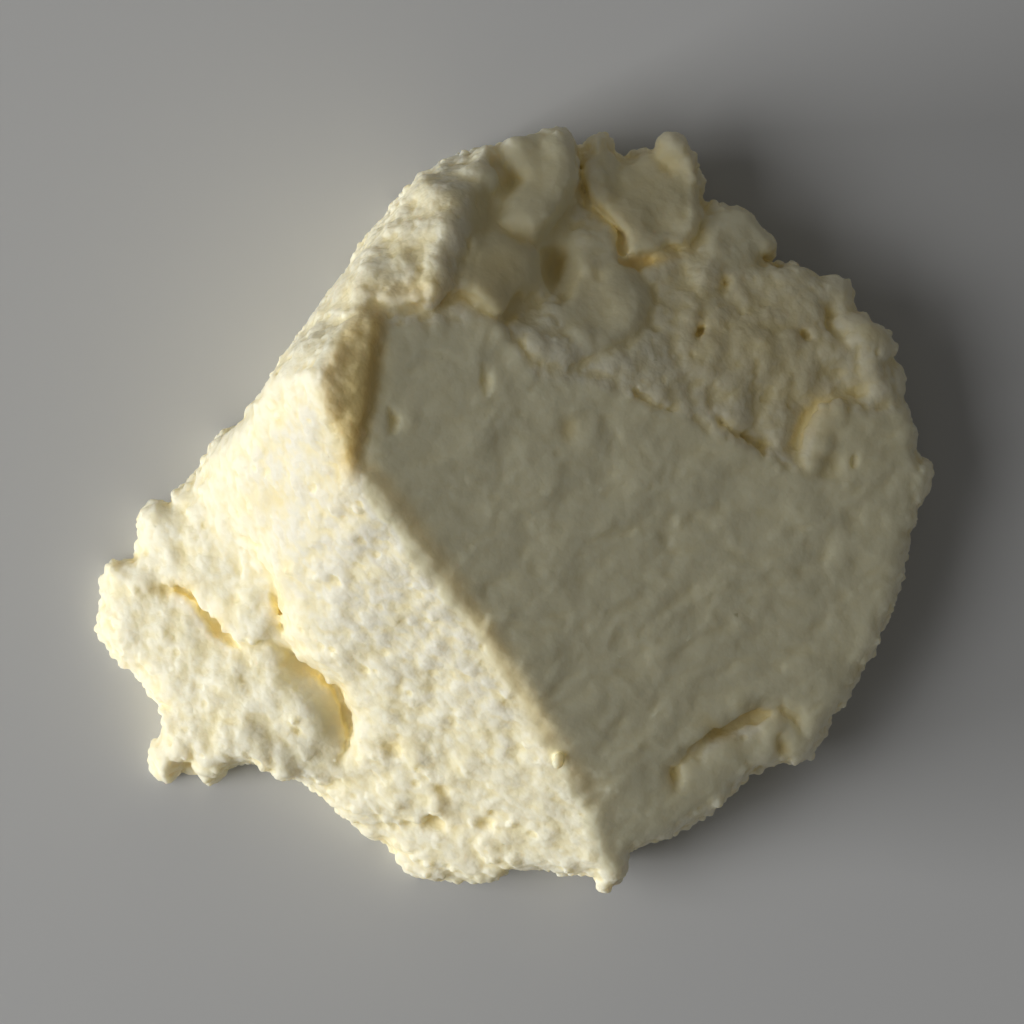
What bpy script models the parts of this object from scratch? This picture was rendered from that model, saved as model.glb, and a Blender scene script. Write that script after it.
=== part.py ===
"""A lump of fresh ricotta: part of a round moulded cheese, knife-cut on one side and torn open on the other.

One solid, in metres, +Z up. The origin is the middle of the bounding box on the surface that the lump rests on.
+X is the lump's longest side, and the smooth knife-cut slope falls towards +X. All sizes below are millimetres.
"""

import math

import bmesh
import bpy
from mathutils import Matrix, Vector, noise

MM = 0.001

# ---------------------------------------------------------------- driving sizes
TALLEST = 36.9  # the crest above the surface
BELOW = 4.0  # how far the rough masses run under the surface before the foot is cut flat
SKIN_VOXEL = 0.75  # the grid on which the masses are fused
TRIANGLES = 9000

# The round mould the cheese was drained in, and the narrower shoulder at its far side: centre x, centre y, radius
MOULD = (7.9, 1.7, 32.5)
SHOULDER = (3.8, 11.4, 26.1)
CHORD_AT, CHORD_NORMAL = (24.0, -25.3), (0.563, -0.827)  # the flat at the near right of the mould wall

# Corners of the torn part of the plan, from the end of the steep wall round to the mould
TORN_PLAN = (
    (-12.2, 30.9), (-19.4, 22.6), (-30.6, 6.1), (-33.0, 0.0), (-28.0, -5.0), (-24.2, -5.6),
    (-22.9, -10.6), (-21.4, -14.6), (-17.7, -16.6), (-16.2, -20.2), (-16.4, -25.0),
    (-18.5, -28.6), (-12.8, -33.6), (-9.9, -37.0), (-2.0, -36.3), (5.6, -35.9), (12.4, -33.2),
    (18.0, -29.0), (20.0, 0.0), (5.0, 30.0),
)

# Faces that trim the lump: a point on the face, and the height lost per millimetre towards +X and towards +Y
KNIFE_CUT = ((-18.0, 12.9, 36.9), (0.37, -0.15))
KNIFE_HEEL = ((0.0, -22.0, 23.3), (0.37, -0.38))  # the cut falls away at its near end
TORN_SIDE = ((-16.7, 6.4, 36.6), (-1.43, -0.57))
TORN_FRONT = ((-3.2, -11.1, 27.5), (-0.4355, -0.783))
TORN_TOP = ((4.8, 13.9, 28.2), (0.28, 0.62))
STEEP_WALL_AT, STEEP_WALL_NORMAL, STEEP_WALL_LEAN = (-21.2, 18.4), (-0.811, 0.584), 2.6  # degrees from upright
CREST_BEVEL = ((-21.2, 18.4, 27.8), (-1.622, 1.168))  # the crest's corner over the steep wall
ROUGH_ZONE = ((16.8, 9.2, 21.9), (0.37, -0.15))  # beyond the smear's edge the surface lies a step lower
ROUGH_ZONE_EDGE = ((4.8, 14.6), (27.8, 5.0))

# Masses: centre, radii, then turn about Z, and how far the +X end and the +Y end dip, in degrees
TOP_LUMPS = {
    "bulge": ((-8.8, 26.2, 22.2), (5.6, 8.2, 8.4), -14, 0, 14),
    "column": ((1.6, 30.4, 15.6), (3.9, 6.2, 6.3), -8, 0, 10),
    "nodule": ((-1.4, 23.4, 23.4), (3.8, 4.2, 4.6), 0, 0, 0),
    "middle_lump": ((9.6, 21.6, 18.0), (4.8, 7.6, 6.0), 10, 8, 0),
    "flake": ((13.0, 31.2, 15.4), (5.7, 6.2, 3.1), 0, 8, 6),
    "flake_knob": ((16.2, 36.6, 13.6), (2.1, 2.4, 3.4), 0, 0, 0),
    "spur": ((8.3, 37.2, 12.2), (1.5, 2.0, 3.0), 0, 0, 0),
    "far_right_lump": ((22.2, 27.8, 8.8), (4.2, 3.8, 4.6), -30, 0, 0),
    "lip": ((33.0, 10.4, 12.4), (3.6, 2.6, 2.8), -8, 12, 0),
    "rim_spur": ((40.4, 4.7, 6.6), (2.2, 2.4, 2.8), -25, 0, 0),
    "heel_lip": ((25.6, -21.0, 12.8), (3.6, 2.2, 2.4), 18, 20, 0),
    "heel_tab": ((27.2, -22.9, 7.0), (2.4, 2.2, 4.0), 20, 0, 0),
    "toe": ((9.6, -35.9, 4.0), (2.0, 2.2, 4.4), 0, 0, 0),
}
SLUMP = {
    "side_lobe": ((-31.2, 0.6, 2.0), (4.9, 4.8, 9.2), 0, 0, 0),
    "second_lobe": ((-34.6, -3.0, 1.0), (4.6, 4.2, 8.8), 0, 0, 0),
    "tongue": ((-28.0, -7.6, 3.0), (4.8, 5.8, 9.8), -25, 0, 0),
    "left_lobe": ((-37.4, -9.8, 1.0), (4.8, 5.2, 6.4), 0, 0, 0),
    "front_left_lobe": ((-31.8, -21.4, 1.0), (5.2, 4.6, 6.0), 0, 0, 0),
    "front_lobe": ((-24.6, -21.0, 1.0), (5.8, 5.0, 8.0), 0, 0, 0),
    "corner_lobe": ((-18.6, -25.0, 1.0), (5.0, 4.8, 8.5), 0, 0, 0),
    "ledge": ((-27.2, -15.2, 3.0), (11.2, 10.6, 7.4), -20, -18, 0),
    "left_apron": ((-36.6, -14.2, 0.5), (4.6, 4.6, 4.6), 0, 0, 0),
}
HOLLOWS = {
    "deep_hollow": ((4.1, 24.3, 23.0), (1.7, 2.8, 6.0), -10, 0, 0),
    "flake_pocket": ((14.4, 25.0, 15.7), (3.6, 1.5, 1.8), 12, 0, 0),
    "gap_by_flake": ((7.4, 29.0, 17.0), (1.0, 2.6, 3.2), 25, 0, 0),
    "gap_by_nodule": ((-1.4, 18.9, 29.2), (1.8, 0.9, 3.2), 20, 0, 0),
    "rim_notch": ((29.6, 9.9, 13.5), (1.2, 2.3, 3.6), -8, 0, 0),
    "heel_notch": ((26.6, -25.6, 9.5), (1.1, 1.6, 3.6), -30, 0, 0),
    "crest_trough": ((-12.6, 15.4, 38.2), (2.0, 5.0, 4.0), -12, 0, 0),
    "rim_dent": ((32.3, 4.6, 17.0), (2.0, 1.9, 2.4), 0, 0, 0),
}

# Cracks and grooves, as tapering worms: x, y, z, radius along each
WIDE_CRACK = (
    (-24.3, -5.4, 15.0, 0.9), (-23.6, -9.0, 12.8, 1.1), (-22.9, -12.3, 10.8, 1.3), (-20.8, -15.4, 10.6, 1.7),
    (-18.7, -17.6, 10.8, 2.2), (-17.9, -20.6, 10.6, 2.6), (-17.7, -23.6, 9.6, 1.9), (-17.6, -25.8, 9.4, 1.0),
)
SLUMP_CRACK = ((-37.8, -7.4, 8.0, 0.9), (-33.6, -7.2, 7.8, 1.1), (-31.4, -9.4, 7.8, 1.2), (-28.8, -12.2, 8.6, 0.9))
HEEL_GROOVE = ((15.6, -27.0, 15.2, 1.0), (16.8, -23.8, 16.6, 1.3), (20.4, -21.4, 16.6, 1.3), (25.2, -18.6, 15.8, 0.9))

# Curd relief: size of the bumps and how far they stand out
RELIEF = ((7.0, 0.45), (2.8, 0.35))
CURD_COLOUR = (0.89, 0.85, 0.69, 1.0)


def clear_scene():
    for obj in list(bpy.data.objects):
        bpy.data.objects.remove(obj, do_unlink=True)


def add_object(name, bm, helper=False):
    mesh = bpy.data.meshes.new(name)
    bmesh.ops.recalc_face_normals(bm, faces=bm.faces)
    bm.to_mesh(mesh)
    bm.free()
    obj = bpy.data.objects.new(name, mesh)
    bpy.context.scene.collection.objects.link(obj)
    if helper:
        obj.hide_render = True
        obj.display_type = "WIRE"
    return obj


def mass_matrix(centre, radii, turn, tilt, pitch):
    """Places a unit sphere: turned about Z, its +X end dipped by tilt and its +Y end by pitch."""
    return (
        Matrix.Translation(Vector(centre) * MM)
        @ Matrix.Rotation(math.radians(turn), 4, "Z")
        @ Matrix.Rotation(math.radians(tilt), 4, "Y")
        @ Matrix.Rotation(math.radians(-pitch), 4, "X")
        @ Matrix.Diagonal((*[r * MM for r in radii], 1.0))
    )


def add_mass(bm, spec, detail=4):
    bmesh.ops.create_icosphere(bm, subdivisions=detail, radius=1.0, matrix=mass_matrix(*spec))


def slope_height(face, x, y):
    (px, py, pz), (fall_x, fall_y) = face
    return pz - fall_x * (x - px) - fall_y * (y - py)


def slice_off(bm, point, normal):
    """Cuts the mesh with a plane, drops what is on the normal's side, and closes the cut."""
    cut = bmesh.ops.bisect_plane(
        bm,
        geom=bm.verts[:] + bm.edges[:] + bm.faces[:],
        dist=1e-7,
        plane_co=Vector(point) * MM,
        plane_no=Vector(normal).normalized(),
        clear_outer=True,
    )
    rim = [e for e in cut["geom_cut"] if isinstance(e, bmesh.types.BMEdge) and e.is_boundary]
    if rim:
        bmesh.ops.holes_fill(bm, edges=rim, sides=0)


def slice_slope(bm, face):
    point, (fall_x, fall_y) = face
    slice_off(bm, point, (fall_x, fall_y, 1.0))


def prism(outline, low, high):
    bm = bmesh.new()
    base = bm.faces.new([bm.verts.new((x * MM, y * MM, low * MM)) for x, y in outline])
    grown = bmesh.ops.extrude_face_region(bm, geom=[base])
    top = [v for v in grown["geom"] if isinstance(v, bmesh.types.BMVert)]
    bmesh.ops.translate(bm, verts=top, vec=(0, 0, (high - low) * MM))
    bmesh.ops.recalc_face_normals(bm, faces=bm.faces)
    return bm


def circle(centre_x, centre_y, radius, steps=96):
    for i in range(steps):
        a = 2 * math.pi * i / steps
        yield centre_x + radius * math.cos(a), centre_y + radius * math.sin(a)


def trimmed_block(outline):
    """A tall block of one plan shape, trimmed by the knife cut, the torn faces and the steep wall."""
    bm = prism(list(outline), -BELOW, TALLEST + 8)
    for face in (KNIFE_CUT, KNIFE_HEEL, TORN_SIDE, TORN_FRONT, TORN_TOP, CREST_BEVEL):
        slice_slope(bm, face)
    lean = math.tan(math.radians(STEEP_WALL_LEAN))
    slice_off(bm, (*STEEP_WALL_AT, 0.0), (*STEEP_WALL_NORMAL, lean))
    slice_off(bm, (*CHORD_AT, 0.0), (*CHORD_NORMAL, 0.04))
    return bm


def worm(stations, sides=14, per_span=4):
    """A round tapering tube through the stations, closed with a tip at each end."""
    path = []
    for (a, b) in zip(stations[:-1], stations[1:]):
        for i in range(per_span):
            t = i / per_span
            path.append([a[k] + (b[k] - a[k]) * t for k in range(4)])
    path.append(list(stations[-1]))
    bm = bmesh.new()
    rings = []
    for i, (x, y, z, r) in enumerate(path):
        ahead, behind = path[min(i + 1, len(path) - 1)], path[max(i - 1, 0)]
        along = Vector([ahead[k] - behind[k] for k in range(3)]).normalized()
        side = along.cross(Vector((0, 0, 1))).normalized()
        up = side.cross(along).normalized()
        ring = []
        for j in range(sides):
            a = 2 * math.pi * j / sides
            at = Vector((x, y, z)) + r * (math.cos(a) * side + math.sin(a) * up)
            ring.append(bm.verts.new(at * MM))
        rings.append(ring)
    for first, second in zip(rings[:-1], rings[1:]):
        for j in range(sides):
            bm.faces.new((first[j], first[(j + 1) % sides], second[(j + 1) % sides], second[j]))
    for ring, end, inner in ((rings[0], path[0], path[1]), (rings[-1], path[-1], path[-2])):
        out = Vector([end[k] - inner[k] for k in range(3)]).normalized()
        tip = bm.verts.new((Vector(end[:3]) + out * end[3]) * MM)
        for j in range(sides):
            bm.faces.new((ring[j], ring[(j + 1) % sides], tip))
    return bm


def fuse_masses():
    """Every mass that adds to the lump, as overlapping closed shells in one mesh."""
    shells = bmesh.new()
    blocks = [trimmed_block(circle(*MOULD)), trimmed_block(circle(*SHOULDER)), trimmed_block(TORN_PLAN)]
    for block in blocks:
        part = bpy.data.meshes.new("block")
        block.to_mesh(part)
        block.free()
        shells.from_mesh(part)
        bpy.data.meshes.remove(part)
    for spec in list(TOP_LUMPS.values()) + list(SLUMP.values()):
        add_mass(shells, spec)
    return add_object("ricotta", shells)


def make_cutters():
    """Every hollow, crack and groove, each a closed helper of its own."""
    cutters = []
    for name, spec in HOLLOWS.items():
        bm = bmesh.new()
        add_mass(bm, spec, detail=3)
        cutters.append(add_object("cut_" + name, bm, helper=True))
    for name, stations in (("wide_crack", WIDE_CRACK), ("slump_crack", SLUMP_CRACK), ("heel_groove", HEEL_GROOVE)):
        cutters.append(add_object("cut_" + name, worm(stations), helper=True))
    # The torn zone beyond the smear's edge lies a step under the knife cut.
    (ax, ay), (bx, by) = ROUGH_ZONE_EDGE
    run = Vector((bx - ax, by - ay)).normalized()
    out = Vector((-run.y, run.x))
    corners = []
    for along, across in ((-4, 0), (45, 0), (45, 40), (-4, 40)):
        at = Vector((ax, ay)) + run * along + out * across
        corners.append((at.x, at.y))
    slab = bmesh.new()
    low = [slab.verts.new((x * MM, y * MM, slope_height(ROUGH_ZONE, x, y) * MM)) for x, y in corners]
    high = [slab.verts.new((x * MM, y * MM, (slope_height(ROUGH_ZONE, x, y) + 30) * MM)) for x, y in corners]
    slab.faces.new(low)
    slab.faces.new(high[::-1])
    for i in range(4):
        j = (i + 1) % 4
        slab.faces.new((low[i], low[j], high[j], high[i]))
    cutters.append(add_object("cut_rough_zone", slab, helper=True))
    return cutters


def evaluated_mesh(obj):
    bpy.context.view_layer.update()
    graph = bpy.context.evaluated_depsgraph_get()
    return bpy.data.meshes.new_from_object(obj.evaluated_get(graph), depsgraph=graph)


def settle(obj):
    """Replaces the object's mesh by what its modifiers make of it."""
    made = evaluated_mesh(obj)
    obj.modifiers.clear()
    old, obj.data = obj.data, made
    bpy.data.meshes.remove(old)


def remesh(obj, voxel):
    modifier = obj.modifiers.new("fuse", "REMESH")
    modifier.mode = "VOXEL"
    modifier.voxel_size = voxel * MM
    modifier.use_smooth_shade = True


def curd_relief(obj):
    """Uneven curd: each point moves along its normal by a few sizes of smooth noise."""
    mesh = obj.data
    normals = [v.normal.copy() for v in mesh.vertices]
    for vertex, normal in zip(mesh.vertices, normals):
        at = vertex.co / MM
        lift = sum(depth * noise.noise(at / size + Vector((3.1, 7.7, 1.3))) for size, depth in RELIEF)
        smooth_cut = at.z > slope_height(KNIFE_CUT, at.x, at.y) - 1.2 and at.x > -10
        vertex.co = vertex.co + normal * lift * (0.35 if smooth_cut else 1.0) * MM


def flat_foot(obj):
    """Cuts the lump level with the surface it rests on, and closes the foot with one flat face."""
    bm = bmesh.new()
    bm.from_mesh(obj.data)
    bmesh.ops.bisect_plane(
        bm, geom=bm.verts[:] + bm.edges[:] + bm.faces[:], dist=2e-5,
        plane_co=(0, 0, 0), plane_no=(0, 0, 1), clear_inner=True,
    )
    rim = [e for e in bm.edges if e.is_boundary]
    for edge in rim:
        for vert in edge.verts:
            vert.co.z = 0.0
    bmesh.ops.holes_fill(bm, edges=rim, sides=0)
    # keep the one lump, without any loose speck that the cut parted from it
    seen, groups = set(), []
    for start in bm.verts:
        if start in seen:
            continue
        group, todo = set(), [start]
        while todo:
            vert = todo.pop()
            if vert in group:
                continue
            group.add(vert)
            todo.extend(e.other_vert(vert) for e in vert.link_edges)
        seen |= group
        groups.append(group)
    largest = max(groups, key=len)
    bmesh.ops.delete(bm, geom=[v for v in bm.verts if v not in largest], context="VERTS")
    bmesh.ops.recalc_face_normals(bm, faces=bm.faces)
    bm.to_mesh(obj.data)
    bm.free()


def centre_on_foot(obj):
    """Brings the middle of the plan box over the origin."""
    xs = [v.co.x for v in obj.data.vertices]
    ys = [v.co.y for v in obj.data.vertices]
    obj.data.transform(Matrix.Translation((-(min(xs) + max(xs)) / 2, -(min(ys) + max(ys)) / 2, 0)))


def curd_material():
    material = bpy.data.materials.new("fresh_curd")
    material.use_nodes = True
    shader = material.node_tree.nodes["Principled BSDF"]
    shader.inputs["Base Color"].default_value = CURD_COLOUR
    shader.inputs["Roughness"].default_value = 0.55
    shader.inputs["Metallic"].default_value = 0.0
    return material


def build():
    clear_scene()
    lump = fuse_masses()
    remesh(lump, SKIN_VOXEL)
    settle(lump)
    for cutter in make_cutters():
        cut = lump.modifiers.new(cutter.name, "BOOLEAN")
        cut.operation = "DIFFERENCE"
        cut.solver = "EXACT"
        cut.object = cutter
    remesh(lump, SKIN_VOXEL)
    soften = lump.modifiers.new("soften", "SMOOTH")
    soften.factor = 0.5
    soften.iterations = 5
    settle(lump)
    curd_relief(lump)
    count = sum(len(p.vertices) - 2 for p in lump.data.polygons)
    thin = lump.modifiers.new("thin", "DECIMATE")
    thin.ratio = TRIANGLES / count
    settle(lump)
    flat_foot(lump)
    centre_on_foot(lump)
    for helper in [o for o in bpy.data.objects if o.name.startswith("cut_")]:
        bpy.data.objects.remove(helper, do_unlink=True)
    lump.data.materials.clear()
    lump.data.materials.append(curd_material())
    lump.data.shade_smooth()
    return lump


build()
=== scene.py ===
"""Looks for a lump of fresh ricotta: one lump of moist curd, knife-smeared on its long slope and torn open elsewhere.

The lump is grown as a solid field on a fine grid: named faces and masses first, then slow unevenness, then clumps and
curd grains packed over the torn faces, then pits. The field's surface becomes the mesh. Sizes in the field are millimetres
in the part's own frame; the mesh is in metres.
"""
import math

import bpy
import numpy as np
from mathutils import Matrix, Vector


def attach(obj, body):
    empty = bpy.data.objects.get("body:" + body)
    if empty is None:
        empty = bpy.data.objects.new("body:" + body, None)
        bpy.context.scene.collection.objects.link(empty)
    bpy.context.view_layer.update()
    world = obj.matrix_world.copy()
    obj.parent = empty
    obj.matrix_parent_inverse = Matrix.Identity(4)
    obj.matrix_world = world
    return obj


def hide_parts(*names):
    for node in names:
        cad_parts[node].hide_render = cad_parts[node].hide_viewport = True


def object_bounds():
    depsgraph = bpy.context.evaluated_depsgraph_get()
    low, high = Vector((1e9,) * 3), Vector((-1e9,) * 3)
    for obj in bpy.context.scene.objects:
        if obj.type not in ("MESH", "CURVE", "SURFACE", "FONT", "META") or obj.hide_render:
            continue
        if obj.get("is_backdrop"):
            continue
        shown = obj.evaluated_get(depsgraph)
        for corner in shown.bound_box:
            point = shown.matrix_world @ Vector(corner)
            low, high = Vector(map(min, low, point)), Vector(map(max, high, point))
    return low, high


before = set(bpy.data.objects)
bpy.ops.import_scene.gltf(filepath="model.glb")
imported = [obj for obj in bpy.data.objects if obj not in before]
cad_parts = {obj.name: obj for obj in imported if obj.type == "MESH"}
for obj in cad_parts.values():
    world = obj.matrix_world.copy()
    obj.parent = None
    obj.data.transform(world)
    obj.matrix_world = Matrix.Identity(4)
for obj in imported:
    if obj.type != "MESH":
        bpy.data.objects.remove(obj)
CAD_LOW, CAD_HIGH = (Vector(c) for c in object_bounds())
NODE = "ricotta"
MM = 0.001
VOXEL = 0.24
MOST_TRIANGLES = 196000
f32 = np.float32

# ---------------------------------------------------------------- field helpers


def smax(a, b, k):
    h = np.clip(0.5 + 0.5 * (a - b) / k, 0, 1)
    return b + (a - b) * h + k * h * (1 - h)


def smin(a, b, k):
    h = np.clip(0.5 - 0.5 * (a - b) / k, 0, 1)
    return b + (a - b) * h - k * h * (1 - h)


def ramp(t, a, b):
    t = np.clip((t - a) / (b - a), 0, 1)
    return t * t * (3 - 2 * t)


def polygon(x, y, corners):
    """Signed distance to a polygon in plan, negative inside."""
    near = np.full(np.broadcast(x, y).shape, 1e9, f32)
    sign = np.ones(near.shape, f32)
    for (ax, ay), (bx, by) in zip(corners, corners[-1:] + corners[:-1]):
        ex, ey = bx - ax, by - ay
        wx, wy = x - ax, y - ay
        t = np.clip((wx * ex + wy * ey) / (ex * ex + ey * ey), 0, 1)
        near = np.minimum(near, (wx - ex * t) ** 2 + (wy - ey * t) ** 2)
        a, b, c = y >= ay, y < by, ex * wy > ey * wx
        sign = np.where((a & b & c) | ~(a | b | c), -sign, sign)
    return sign * np.sqrt(near)


def beside(x, y, points):
    """Distance in plan to an open line, positive on its left."""
    near = np.full(np.broadcast(x, y).shape, 1e9, f32)
    side = np.ones(near.shape, f32)
    for (ax, ay), (bx, by) in zip(points[:-1], points[1:]):
        ex, ey = bx - ax, by - ay
        wx, wy = x - ax, y - ay
        t = np.clip((wx * ex + wy * ey) / (ex * ex + ey * ey), 0, 1)
        d = np.hypot(wx - ex * t, wy - ey * t)
        closer = d < near
        near = np.where(closer, d, near)
        side = np.where(closer, np.where(ex * wy > ey * wx, 1.0, -1.0), side)
    return (near * side).astype(f32)


class Grid:
    """The part of space that holds the lump, as voxel corners."""

    def __init__(self, low, high, voxel):
        self.h = voxel
        self.low = np.array(low, f32)
        self.n = tuple(int(math.ceil((b - a) / voxel)) + 1 for a, b in zip(low, high))
        self.axes = [self.low[k] + voxel * np.arange(self.n[k], dtype=f32) for k in range(3)]
        self.x = self.axes[0][:, None, None]
        self.y = self.axes[1][None, :, None]
        self.z = self.axes[2][None, None, :]

    def window(self, centre, reach):
        """Slices of the grid within reach of a centre, and their open coordinates."""
        spans = []
        for k in range(3):
            a = max(0, int((centre[k] - reach[k] - self.low[k]) / self.h))
            b = min(self.n[k], int((centre[k] + reach[k] - self.low[k]) / self.h) + 2)
            if a >= b:
                return None
            spans.append(slice(a, b))
        sx, sy, sz = spans
        return tuple(spans), self.x[sx], self.y[:, sy], self.z[:, :, sz]


def turned(px, py, pz, turn, tilt, pitch):
    """Coordinates in a mass turned about Z, its +X end dipped by tilt and its +Y end by pitch, in degrees."""
    if turn:
        c, s = math.cos(math.radians(turn)), math.sin(math.radians(turn))
        px, py = c * px + s * py, -s * px + c * py
    if tilt:
        c, s = math.cos(math.radians(tilt)), math.sin(math.radians(tilt))
        px, pz = c * px - s * pz, s * px + c * pz
    if pitch:
        c, s = math.cos(math.radians(pitch)), math.sin(math.radians(pitch))
        py, pz = c * py - s * pz, s * py + c * pz
    return px, py, pz


def blob(x, y, z, centre, radii, turn=0, tilt=0, pitch=0):
    px, py, pz = turned(x - centre[0], y - centre[1], z - centre[2], turn, tilt, pitch)
    a, b, c = radii
    k0 = np.sqrt((px / a) ** 2 + (py / b) ** 2 + (pz / c) ** 2)
    k1 = np.sqrt((px / a ** 2) ** 2 + (py / b ** 2) ** 2 + (pz / c ** 2) ** 2) + 1e-6
    return k0 * (k0 - 1) / k1


def span(x, y, z, a, b):
    """Distance to a straight tapering rod between two stations of x, y, z, radius."""
    e = [b[k] - a[k] for k in range(3)]
    t = ((x - a[0]) * e[0] + (y - a[1]) * e[1] + (z - a[2]) * e[2]) / (sum(v * v for v in e) + 1e-9)
    t = np.clip(t, 0, 1)
    return np.sqrt((x - a[0] - e[0] * t) ** 2 + (y - a[1] - e[1] * t) ** 2 + (z - a[2] - e[2] * t) ** 2) - (
        a[3] + (b[3] - a[3]) * t
    )


def add_blob(F, grid, k, centre, radii, turn=0, tilt=0, pitch=0):
    reach = [max(radii) + k + 1.2] * 3
    found = grid.window(centre, reach)
    if found:
        where, x, y, z = found
        F[where] = smin(F[where], blob(x, y, z, centre, radii, turn, tilt, pitch), k)


def cut_blob(F, grid, k, centre, radii, turn=0, tilt=0, pitch=0):
    reach = [max(radii) + k + 1.2] * 3
    found = grid.window(centre, reach)
    if found:
        where, x, y, z = found
        F[where] = smax(F[where], -blob(x, y, z, centre, radii, turn, tilt, pitch), k)


def rods(F, grid, k, stations, cut):
    """A bead or a groove along stations of x, y, z, radius."""
    for a, b in zip(stations[:-1], stations[1:]):
        centre = [(a[i] + b[i]) / 2 for i in range(3)]
        reach = [abs(a[i] - b[i]) / 2 + max(a[3], b[3]) + k + 1.0 for i in range(3)]
        found = grid.window(centre, reach)
        if not found:
            continue
        where, x, y, z = found
        d = span(x, y, z, a, b)
        F[where] = smax(F[where], -d, k) if cut else smin(F[where], d, k)


def slots(F, grid, k, lines, surface):
    """Narrow slots along lines of x, y, depth of the slot's middle below a surface, radius."""
    for line in lines:
        xs, ys = (np.array([s[i] for s in line], f32)[:, None] for i in (0, 1))
        tops = surface(xs, ys)[:, 0]
        rods(F, grid, k, [(x, y, float(top) - below, r) for (x, y, below, r), top in zip(line, tops)], cut=True)


# ---------------------------------------------------------------- noise


def spline_weights(coords, cell, offset, count):
    """Cubic B-spline weights of a row of lattice values at each coordinate."""
    u = coords / cell + offset
    i = np.floor(u).astype(int)
    t = (u - i).astype(f32)
    w = np.zeros((len(coords), count), f32)
    rows = np.arange(len(coords))
    for j, v in enumerate(((1 - t) ** 3 / 6, (3 * t ** 3 - 6 * t ** 2 + 4) / 6, (-3 * t ** 3 + 3 * t ** 2 + 3 * t + 1) / 6, t ** 3 / 6)):
        w[rows, i + j] = v
    return w


def lattice_noise(grid, cell, seed, stretch=(1, 1, 1)):
    """Smooth noise over the whole grid, about -1 to 1, with features about twice the cell."""
    rng = np.random.default_rng(seed)
    weights, shape = [], []
    for k in range(3):
        c = cell * stretch[k]
        coords = grid.axes[k] - grid.low[k]
        count = int(coords[-1] / c) + 6
        weights.append(spline_weights(coords, c, 1.0 + rng.random(), count))
        shape.append(count)
    values = rng.uniform(-1, 1, shape).astype(f32)
    out = np.tensordot(weights[0], values, (1, 0))
    out = np.tensordot(out, weights[1], (1, 1))  # x, lz, y
    out = np.tensordot(out, weights[2], (1, 1))  # x, y, z
    return out * 3.0


def plan_noise(u, v, seed):
    """Smooth noise in plan at the given coordinates, about -1 to 1."""
    rng = np.random.default_rng(seed)
    table = rng.uniform(-1, 1, (128, 128)).astype(f32)
    iu, iv = np.floor(u).astype(int), np.floor(v).astype(int)
    tu, tv = u - iu, v - iv
    tu, tv = tu * tu * (3 - 2 * tu), tv * tv * (3 - 2 * tv)
    g = lambda a, b: table[a & 127, b & 127]
    return (
        g(iu, iv) * (1 - tu) * (1 - tv) + g(iu + 1, iv) * tu * (1 - tv)
        + g(iu, iv + 1) * (1 - tu) * tv + g(iu + 1, iv + 1) * tu * tv
    )


# ---------------------------------------------------------------- named sizes of the lump

# Outline of the lump in plan, from the top of the steep wall round by the moulded rim and back along the torn front
LUMP_PLAN = [
    (-30.4, 6.0), (-29.2, 8.0), (-27.4, 10.0), (-25.1, 14.0), (-22.4, 18.0), (-20.9, 19.8), (-19.9, 22.3), (-18.3, 24.4),
    (-17.1, 26.5), (-15.6, 28.3), (-14.5, 30.1), (-13.2, 32.0), (-11.8, 33.4), (-9.0, 35.1), (-6.5, 36.0), (-3.8, 36.8),
    (-2.1, 36.8), (0.1, 37.8), (3.0, 38.2), (5.2, 38.3), (6.3, 37.0), (7.4, 36.7), (8.0, 38.1), (9.1, 38.0), (10.0, 36.3),
    (11.0, 35.5), (12.3, 35.7), (13.2, 36.3), (14.4, 36.1), (14.6, 37.5), (15.4, 38.2), (16.4, 37.9), (17.7, 36.6), (18.4, 35.6),
    (18.9, 33.0), (19.2, 31.2), (20.8, 30.9), (22.4, 30.9), (23.9, 30.3), (24.9, 28.8), (26.5, 27.1), (26.2, 26.1), (25.4, 25.5),
    (28.6, 25.3), (29.5, 24.2), (30.4, 23.7), (32.2, 23.7), (33.2, 23.1), (34.0, 21.9), (34.5, 20.4), (36.4, 19.0), (37.6, 17.2),
    (38.0, 16.4), (37.6, 15.6), (38.9, 14.3), (39.0, 12.0), (39.9, 10.2), (40.4, 7.4), (40.6, 5.4), (41.5, 5.5), (42.1, 4.4),
    (41.4, 2.2), (40.4, 0.0), (39.5, -4.0), (38.4, -8.0), (36.7, -12.0), (34.9, -16.0), (33.6, -18.6), (31.9, -20.2), (31.0, -22.0),
    (30.0, -23.7), (28.6, -25.2), (27.2, -24.8), (24.6, -25.2), (23.0, -26.4), (22.0, -27.7), (20.2, -29.3), (18.2, -30.5),
    (16.4, -31.8), (13.4, -33.0), (11.7, -34.0), (11.5, -36.0), (10.3, -37.3), (9.4, -38.3), (8.6, -37.7), (8.1, -36.1),
    (5.4, -36.2), (2.2, -35.8), (-0.8, -35.6), (-2.2, -36.4), (-3.4, -37.4), (-7.2, -37.3), (-10.4, -36.9), (-11.8, -35.2),
    (-13.6, -33.1), (-16.0, -31.1), (-19.2, -29.0), (-20.0, -27.6), (-17.6, -25.8),
    (-16.5, -24.4), (-16.1, -22.8), (-16.0, -20.6), (-16.6, -18.3), (-17.7, -16.7), (-19.3, -15.5), (-21.6, -14.3), (-22.3, -12.4),
    (-22.9, -10.2), (-23.6, -7.4), (-25.0, -5.2), (-26.6, -3.6), (-28.8, -1.6), (-30.2, 1.4),
]
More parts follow.
